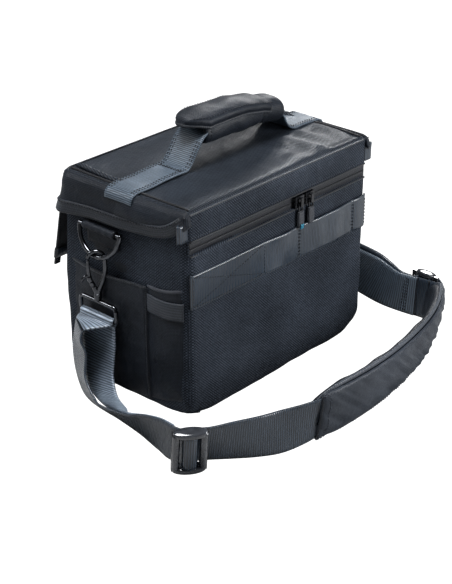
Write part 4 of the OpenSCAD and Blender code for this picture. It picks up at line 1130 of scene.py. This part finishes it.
STRAP_FRONT = [
    [[-200, -142, 4], [-208, -155, 51]], [[-186, -151, 3], [-194, -164, 50]],
    [[-168, -165, 2], [-174, -175, 51]], [[-147, -182, 1], [-150, -187, 51]],
    [[-125, -196, 1], [-125, -196, 51]], [[-102, -205, 4], [-102.8, -209, 53.5]],
    [[-77, -210.7, 8.2], [-78.5, -220.4, 57.2]], [[-48, -214, 8.4], [-49, -224, 57.4]],
    [[-15, -215, 8.4], [-15, -225, 57.4]], [[20, -213.5, 8.4], [20.5, -223.5, 57.4]],
    [[55, -209, 8.4], [56.5, -219, 57.4]], [[90, -202, 8.4], [92.5, -212, 57.4]],
    [[122, -193.5, 8.4], [125.5, -203, 57.4]], [[152, -182, 8.4], [156.5, -190.5, 57.4]],
    [[178, -168, 8.4], [183.5, -175, 57.4]], [[197, -153, 7], [203, -158, 56.5]],
    [[208, -138, 3], [212, -141, 52.5]], [[211, -122, 1], [213, -123, 51]]]
STRAP_RIGHT = [
    [[210.8, -122, 1], [212.6, -123, 51]], [[210, -112, 1], [212, -114, 51]],
    [[207, -92, 3], [211, -98, 52]],
    [[204, -70, 8], [215, -82, 56]], [[199, -46, 18], [214, -66, 63]],
    [[188, -14, 36], [202, -50, 73]], [[175, 20, 56], [187, -25, 85]],
    [[167, 42, 72], [175, -6, 88]], [[163, 52, 85], [163, 4, 86]]]
RETURN_RIGHT = [
    [[208.6, -121, 1.5], [210.6, -122, 50.5]], [[206.5, -110, 2], [209, -112, 51]],
    [[202.5, -92, 4], [206.5, -98, 52]],
    [[198, -72, 8], [208, -84, 55]], [[192, -46, 17], [207, -68, 61]],
    [[180, -14, 34], [194, -50, 71]], [[166, 20, 54], [177, -26, 83]],
    [[158, 44, 70], [165, -5, 86]], [[156.5, 53, 86], [156.5, 4, 87]]]


def strap_rows(stations, per=8, wide=13):
    """Lines along the strap, from its lower to its upper edge."""
    pairs = curve_through(stations, per)
    t = np.linspace(0, 1, wide)[:, None, None]
    return pairs[None, :, 0] * (1 - t) + pairs[None, :, 1] * t


# A lighter copy of the webbing for the inner layer on the left and the sewn loops: painted light,
# brightening faces that lie in the shade of the case and the outer layer.
webbing_painted_lit = cloth("webbing_painted_lit", (0.045, 0.056, 0.072), (0.40, 0.48, 0.58),
                     3.2, 12.0, 0.0, 0.16, 0.40, 0.10, creases=0.0003, gloss=0.7, rib=1.0)


def webbing_layer(name, stations, seed, body=None, *stands_for, per=8, finish=webbing):
    """A flat strap through its stations, attached to the body when one is given."""
    rows = rumpled(strap_rows(stations, per), 40, 1.0, seed)
    layer = fabric(name, rows, finish, thick=2.0, offset=0)
    if stands_for:
        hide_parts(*stands_for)
    if body:
        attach(layer, body)
    return layer, rows


webbing_tail = cloth("webbing_tail", (0.018, 0.024, 0.032), (0.19, 0.24, 0.30),
                     2.6, 12.0, 0.0, 0.16, 0.34, 0.08, creases=0.0003, gloss=0.8, rib=1.0)
follow_left = {"start": (-0.185, -0.03, 0.030), "end": (-0.160, 0.036, 0.092)}
follow_right = {"start": (0.205, -0.06, 0.020), "end": (0.160, 0.036, 0.092)}
for name, stations, seed, finish, node, follow in (
        ("strap_outer_left", STRAP_LEFT, 51, webbing, "strap_left", follow_left),
        ("strap_inner_left", RETURN_LEFT, 52, webbing_painted_lit, "strap_return_left", follow_left),
        ("strap_round_front", STRAP_FRONT, 53, webbing, "strap_front", None),
        ("strap_outer_right", STRAP_RIGHT, 54, webbing, "strap_right", follow_right),
        ("strap_inner_right", RETURN_RIGHT, 55, webbing_tail, "strap_return_right", follow_right)):
    layer, tail_rows = webbing_layer(name, stations, seed, None, node, finish=finish)
    if follow:
        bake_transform(layer)
    else:
        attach(layer, "root")

# Sewn loops over the lower bar of each hook's base.
loops = {
    "left": [[[-160, 52, 84], [-160, 4, 84]], [[-159.2, 52, 87], [-159.2, 4, 87]],
             [[-156.6, 52, 90], [-156.6, 4, 90]], [[-157, 52, 94], [-157, 4, 94]],
             [[-160, 52, 95.8], [-160, 4, 95.8]], [[-163.1, 52, 94], [-163.1, 4, 94]],
             [[-163.6, 52, 90], [-164, 5, 90]], [[-162.5, 57, 85], [-171, 12, 88.5]],
             [[-161, 61.5, 79], [-184.5, 25, 86]]],
    "right": [[[163, 52, 84], [163, 4, 84]], [[163.8, 52, 90], [163.8, 4, 90]],
              [[163.1, 52, 94], [163.1, 4, 94]], [[160, 52, 95.8], [160, 4, 95.8]],
              [[157, 52, 94], [157, 4, 94]], [[156.2, 52, 90], [156.2, 4, 90]],
              [[156.5, 52.5, 84.5], [156.5, 4, 84.5]]]}
for word, stations in loops.items():
    webbing_layer("strap_loop_" + word, stations, 56, "hook_base_" + word, per=5,
                  finish=webbing_painted_lit)
near_right = [track(tail_rows, [0.05, 0.95], [at, at], 1.3, flip=flip, count=40)
              for at in (0.13, 0.15, 0.17) for flip in (False, True)]
stitched("strap_bartacks", near_right, thread_black, "root", fat=0.5)

# ---- Adjusters ----
# Moulded black bars that the webbing passes round: in at one slot, over the middle bar and
# out at the other, between an upright bar at each side and a plate at each end.
# A glossier and lighter copy of the adjusters' finish for their visible bars and plates: the gloss
# is real, the lighter colour is a painted highlight.
adjuster_painted_lit = hard("adjuster_painted_lit", (0.020, 0.022, 0.027), (0.11, 0.12, 0.14), 0.14, 0.2, 1.0,
                      300.0)
FOLD_HALF, BAR_HALF, BAR_OUT, BAR_RADIUS = 24.2, 26.0, 13.8, 4.1
PLATE_WIDE, PLATE_DEEP = 17.6, 7.0


def adjuster(word, broad, centre, turn, lean, legs):
    """One adjuster and the webbing folded round it, turned and leant about its centre."""
    body = "adjuster_" + word

    def placed(local):
        x, y, z = np.moveaxis(np.asarray(local, float), -1, 0)
        yl = y * math.cos(lean) - z * math.sin(lean)
        zl = y * math.sin(lean) + z * math.cos(lean)
        return np.stack([centre[0] + x * math.cos(turn) - yl * math.sin(turn),
                         centre[1] + x * math.sin(turn) + yl * math.cos(turn),
                         centre[2] + zl], axis=-1)

    rows = np.array([placed([(x, y, z) for z in np.linspace(-FOLD_HALF, FOLD_HALF, 11)])
                     for x, y in curve_through(legs, 5)])
    fold = fabric("adjuster_fold_" + word, rows.transpose(1, 0, 2), webbing, thick=2.0, offset=0)
    for x, label in ((-BAR_OUT, "bar_a"), (BAR_OUT, "bar_b")):
        bar = placed([(x * broad, -1.0, z) for z in np.linspace(-BAR_HALF, BAR_HALF, 24)])
        bar_piece = fabric("adjuster_%s_%s" % (label, word),
                           tube_along(bar, BAR_RADIUS * broad, 16), adjuster_painted_lit, wrap=True,
                           capped=True)
        finish_piece(bar_piece, body, "adjuster_black")
    around = np.linspace(0, 2 * math.pi, 36, endpoint=False)
    for way, label in ((-1, "foot"), (1, "head")):
        plate = [placed(np.column_stack([k * PLATE_WIDE * broad * np.cos(around),
                                         -1 + k * PLATE_DEEP * broad * np.sin(around),
                                         np.full(36, way * z)]))
                 for z, k in ((23.4, 0.6), (23.6, 0.96), (24.6, 1.0), (26.8, 1.0), (28.0, 0.97),
                              (28.6, 0.9), (28.7, 0.4))]
        plate_piece = fabric("adjuster_%s_%s" % (label, word), plate, adjuster_painted_lit, wrap=True,
                             capped=True)
        finish_piece(plate_piece, body, "adjuster_black")
    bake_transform(fold)


adjuster("left", 1.0, (-215.5, -154.5, 29.2), math.radians(-39), math.radians(17),
         [(-9.0, 6), (-8.6, 4), (-7.6, 1.5), (-6.4, -3.2), (-3.4, -5.4), (0, -6.0),
          (3.4, -5.4), (6.4, -3.2), (7.6, 1.5), (7.8, 4), (7.6, 6)])
adjuster("right", 0.8, (217.8, -129, 28.5), math.radians(88), 0.0,
         [(-10.5, 7.6), (-8.6, 4.5), (-7.6, 1.0), (-6.4, -3.2), (-3.4, -5.4), (0, -6.0),
          (3.4, -5.4), (6.4, -3.2), (7.6, 1.0), (8.6, 4.5), (12, 7.6)])

# ---- Shoulder pad ----
# A foam pad behind the strap with a bound and stitched edge, and a smooth sleeve in front
# that the strap slides through.
path = curve_through(STRAP_FRONT, 10)
middle = path.mean(1)
upward = path[:, 1] - path[:, 0]
upward /= np.linalg.norm(upward, axis=1, keepdims=True)
forward = np.gradient(middle, axis=0)
forward /= np.linalg.norm(forward, axis=1, keepdims=True)
outward = np.cross(forward, upward)
outward /= np.linalg.norm(outward, axis=1, keepdims=True)
FIRST, LAST = 56, 154


def pad_surface(first, last, half_wide, offset, columns, rows, end_round):
    at = np.linspace(first, last, columns)
    frames = [np.stack([np.interp(at, np.arange(len(f)), f[:, i]) for i in range(3)], 1)
              for f in (middle, upward, outward)]
    run = np.concatenate([[0], np.cumsum(np.linalg.norm(np.diff(frames[0], axis=0), axis=1))])
    near = np.minimum(run, run[-1] - run)
    half = half_wide * (1 - (1 - np.clip(near / end_round, 0, 1)) ** 2.2) ** 0.5
    half = np.maximum(half, half_wide * 0.30)
    t = np.linspace(-1, 1, rows)[:, None, None]
    return frames[0][None] + frames[1][None] * t * half[None, :, None] \
        + frames[2][None] * offset, near


base, near = pad_surface(FIRST - 4.0, LAST + 3.0, 32.5, -3.0, 150, 26, 46)
upper, lower = padded_faces(base, 1.2, 7.4, 5.5)
creases = np.broadcast_to(np.clip(near / 20, 0, 1), base.shape[:2])
lower = rumpled(lower, 24, 1.8, 61, mask=creases)
upper[0], lower[0] = base[0], base[0]
upper[-1], lower[-1] = base[-1], base[-1]
lower[:, 0], lower[:, -1] = upper[:, 0], upper[:, -1]
pad = joined("shoulder_pad_cushion", upper, lower, soft_black)
finish_piece(pad, "root", "soft_black", "shoulder_pad")
border = np.concatenate([base[-1], base[::-1, -1][1:], base[0, ::-1][1:], base[:, 0][1:-1]])
pad_tape = cloth("pad_tape", (0.020, 0.024, 0.031), (0.115, 0.132, 0.160),
                 1.2, 2.4, 0.0, 0.20, 0.45, 0.10)
finish_piece(fabric("shoulder_pad_binding", tube_along(border, 1.9, 8, True, squash=1.5),
                    pad_tape, wrap=True), "root", "binding")

sleeve, near = pad_surface(FIRST, LAST, 30.5, 2.2, 170, 22, 3.0)
t = np.linspace(-1, 1, 22)[:, None]
bulge = 2.6 * (1 - np.abs(t) ** 3) * np.clip(near / 4, 0.35, 1)[None]
n = normals_of(sleeve)
if float((n[10, 60] * outward[100]).sum()) < 0:
    n = -n
sleeve = sleeve + n * (bulge - 2.6 * np.abs(t) ** 6)[..., None]
slope = np.clip(near / 10, 0, 1)[None] * (1 - np.abs(t) ** 4)
sheared = sleeve + np.array([[[r * 1.3, 0, 0]] for r in np.linspace(-11, 11, 22)])
lift = np.array([noise.noise(Vector((p[0] / 9 + p[2] / 11, p[1] / 40, p[2] / 60)))
                 for p in sheared.reshape(-1, 3)]).reshape(sleeve.shape[:2])
sleeve = sleeve + n * (lift * 3.2 * slope)[..., None]
sleeve = rumpled(sleeve, 34, 1.6, 62, mask=slope)
sleeve_cloth = cloth("sleeve_cloth", (0.008, 0.010, 0.014), (0.075, 0.090, 0.115),
                     1.4, 1.4, 0.0, 0.08, 0.42, 0.05, creases=0.0014, gloss=0.35)
sleeve_piece = fabric("shoulder_pad_sleeve", sleeve, sleeve_cloth, thick=1.5, offset=0)
finish_piece(sleeve_piece, "root", "soft_black", "pad_sleeve")
for col, word in ((1, "left"), (-2, "right")):
    finish_piece(fabric("sleeve_hem_" + word, tube_along(sleeve[:, col], 1.2, 8), binding_tape,
                        wrap=True, capped=True), "root", "binding")
runs = []
for r in (0.045, 0.955):
    p, m = track(sleeve, [r, r], [0.01, 0.99], 0.0, count=300)
    m = m * (1 if float((m[150] * outward[105]).sum()) > 0 else -1)
    runs.append((p + m * 1.0, m))
for c in (0.035, 0.965):
    p, m = track(sleeve, [0.06, 0.94], [c, c], 0.0, count=60)
    m = m * (1 if float((m[30] * outward[int(FIRST + 98 * c)]).sum()) > 0 else -1)
    runs.append((p + m * 1.0, m))
stitched("shoulder_pad_stitches", runs, thread_grey, "root", fat=0.5)
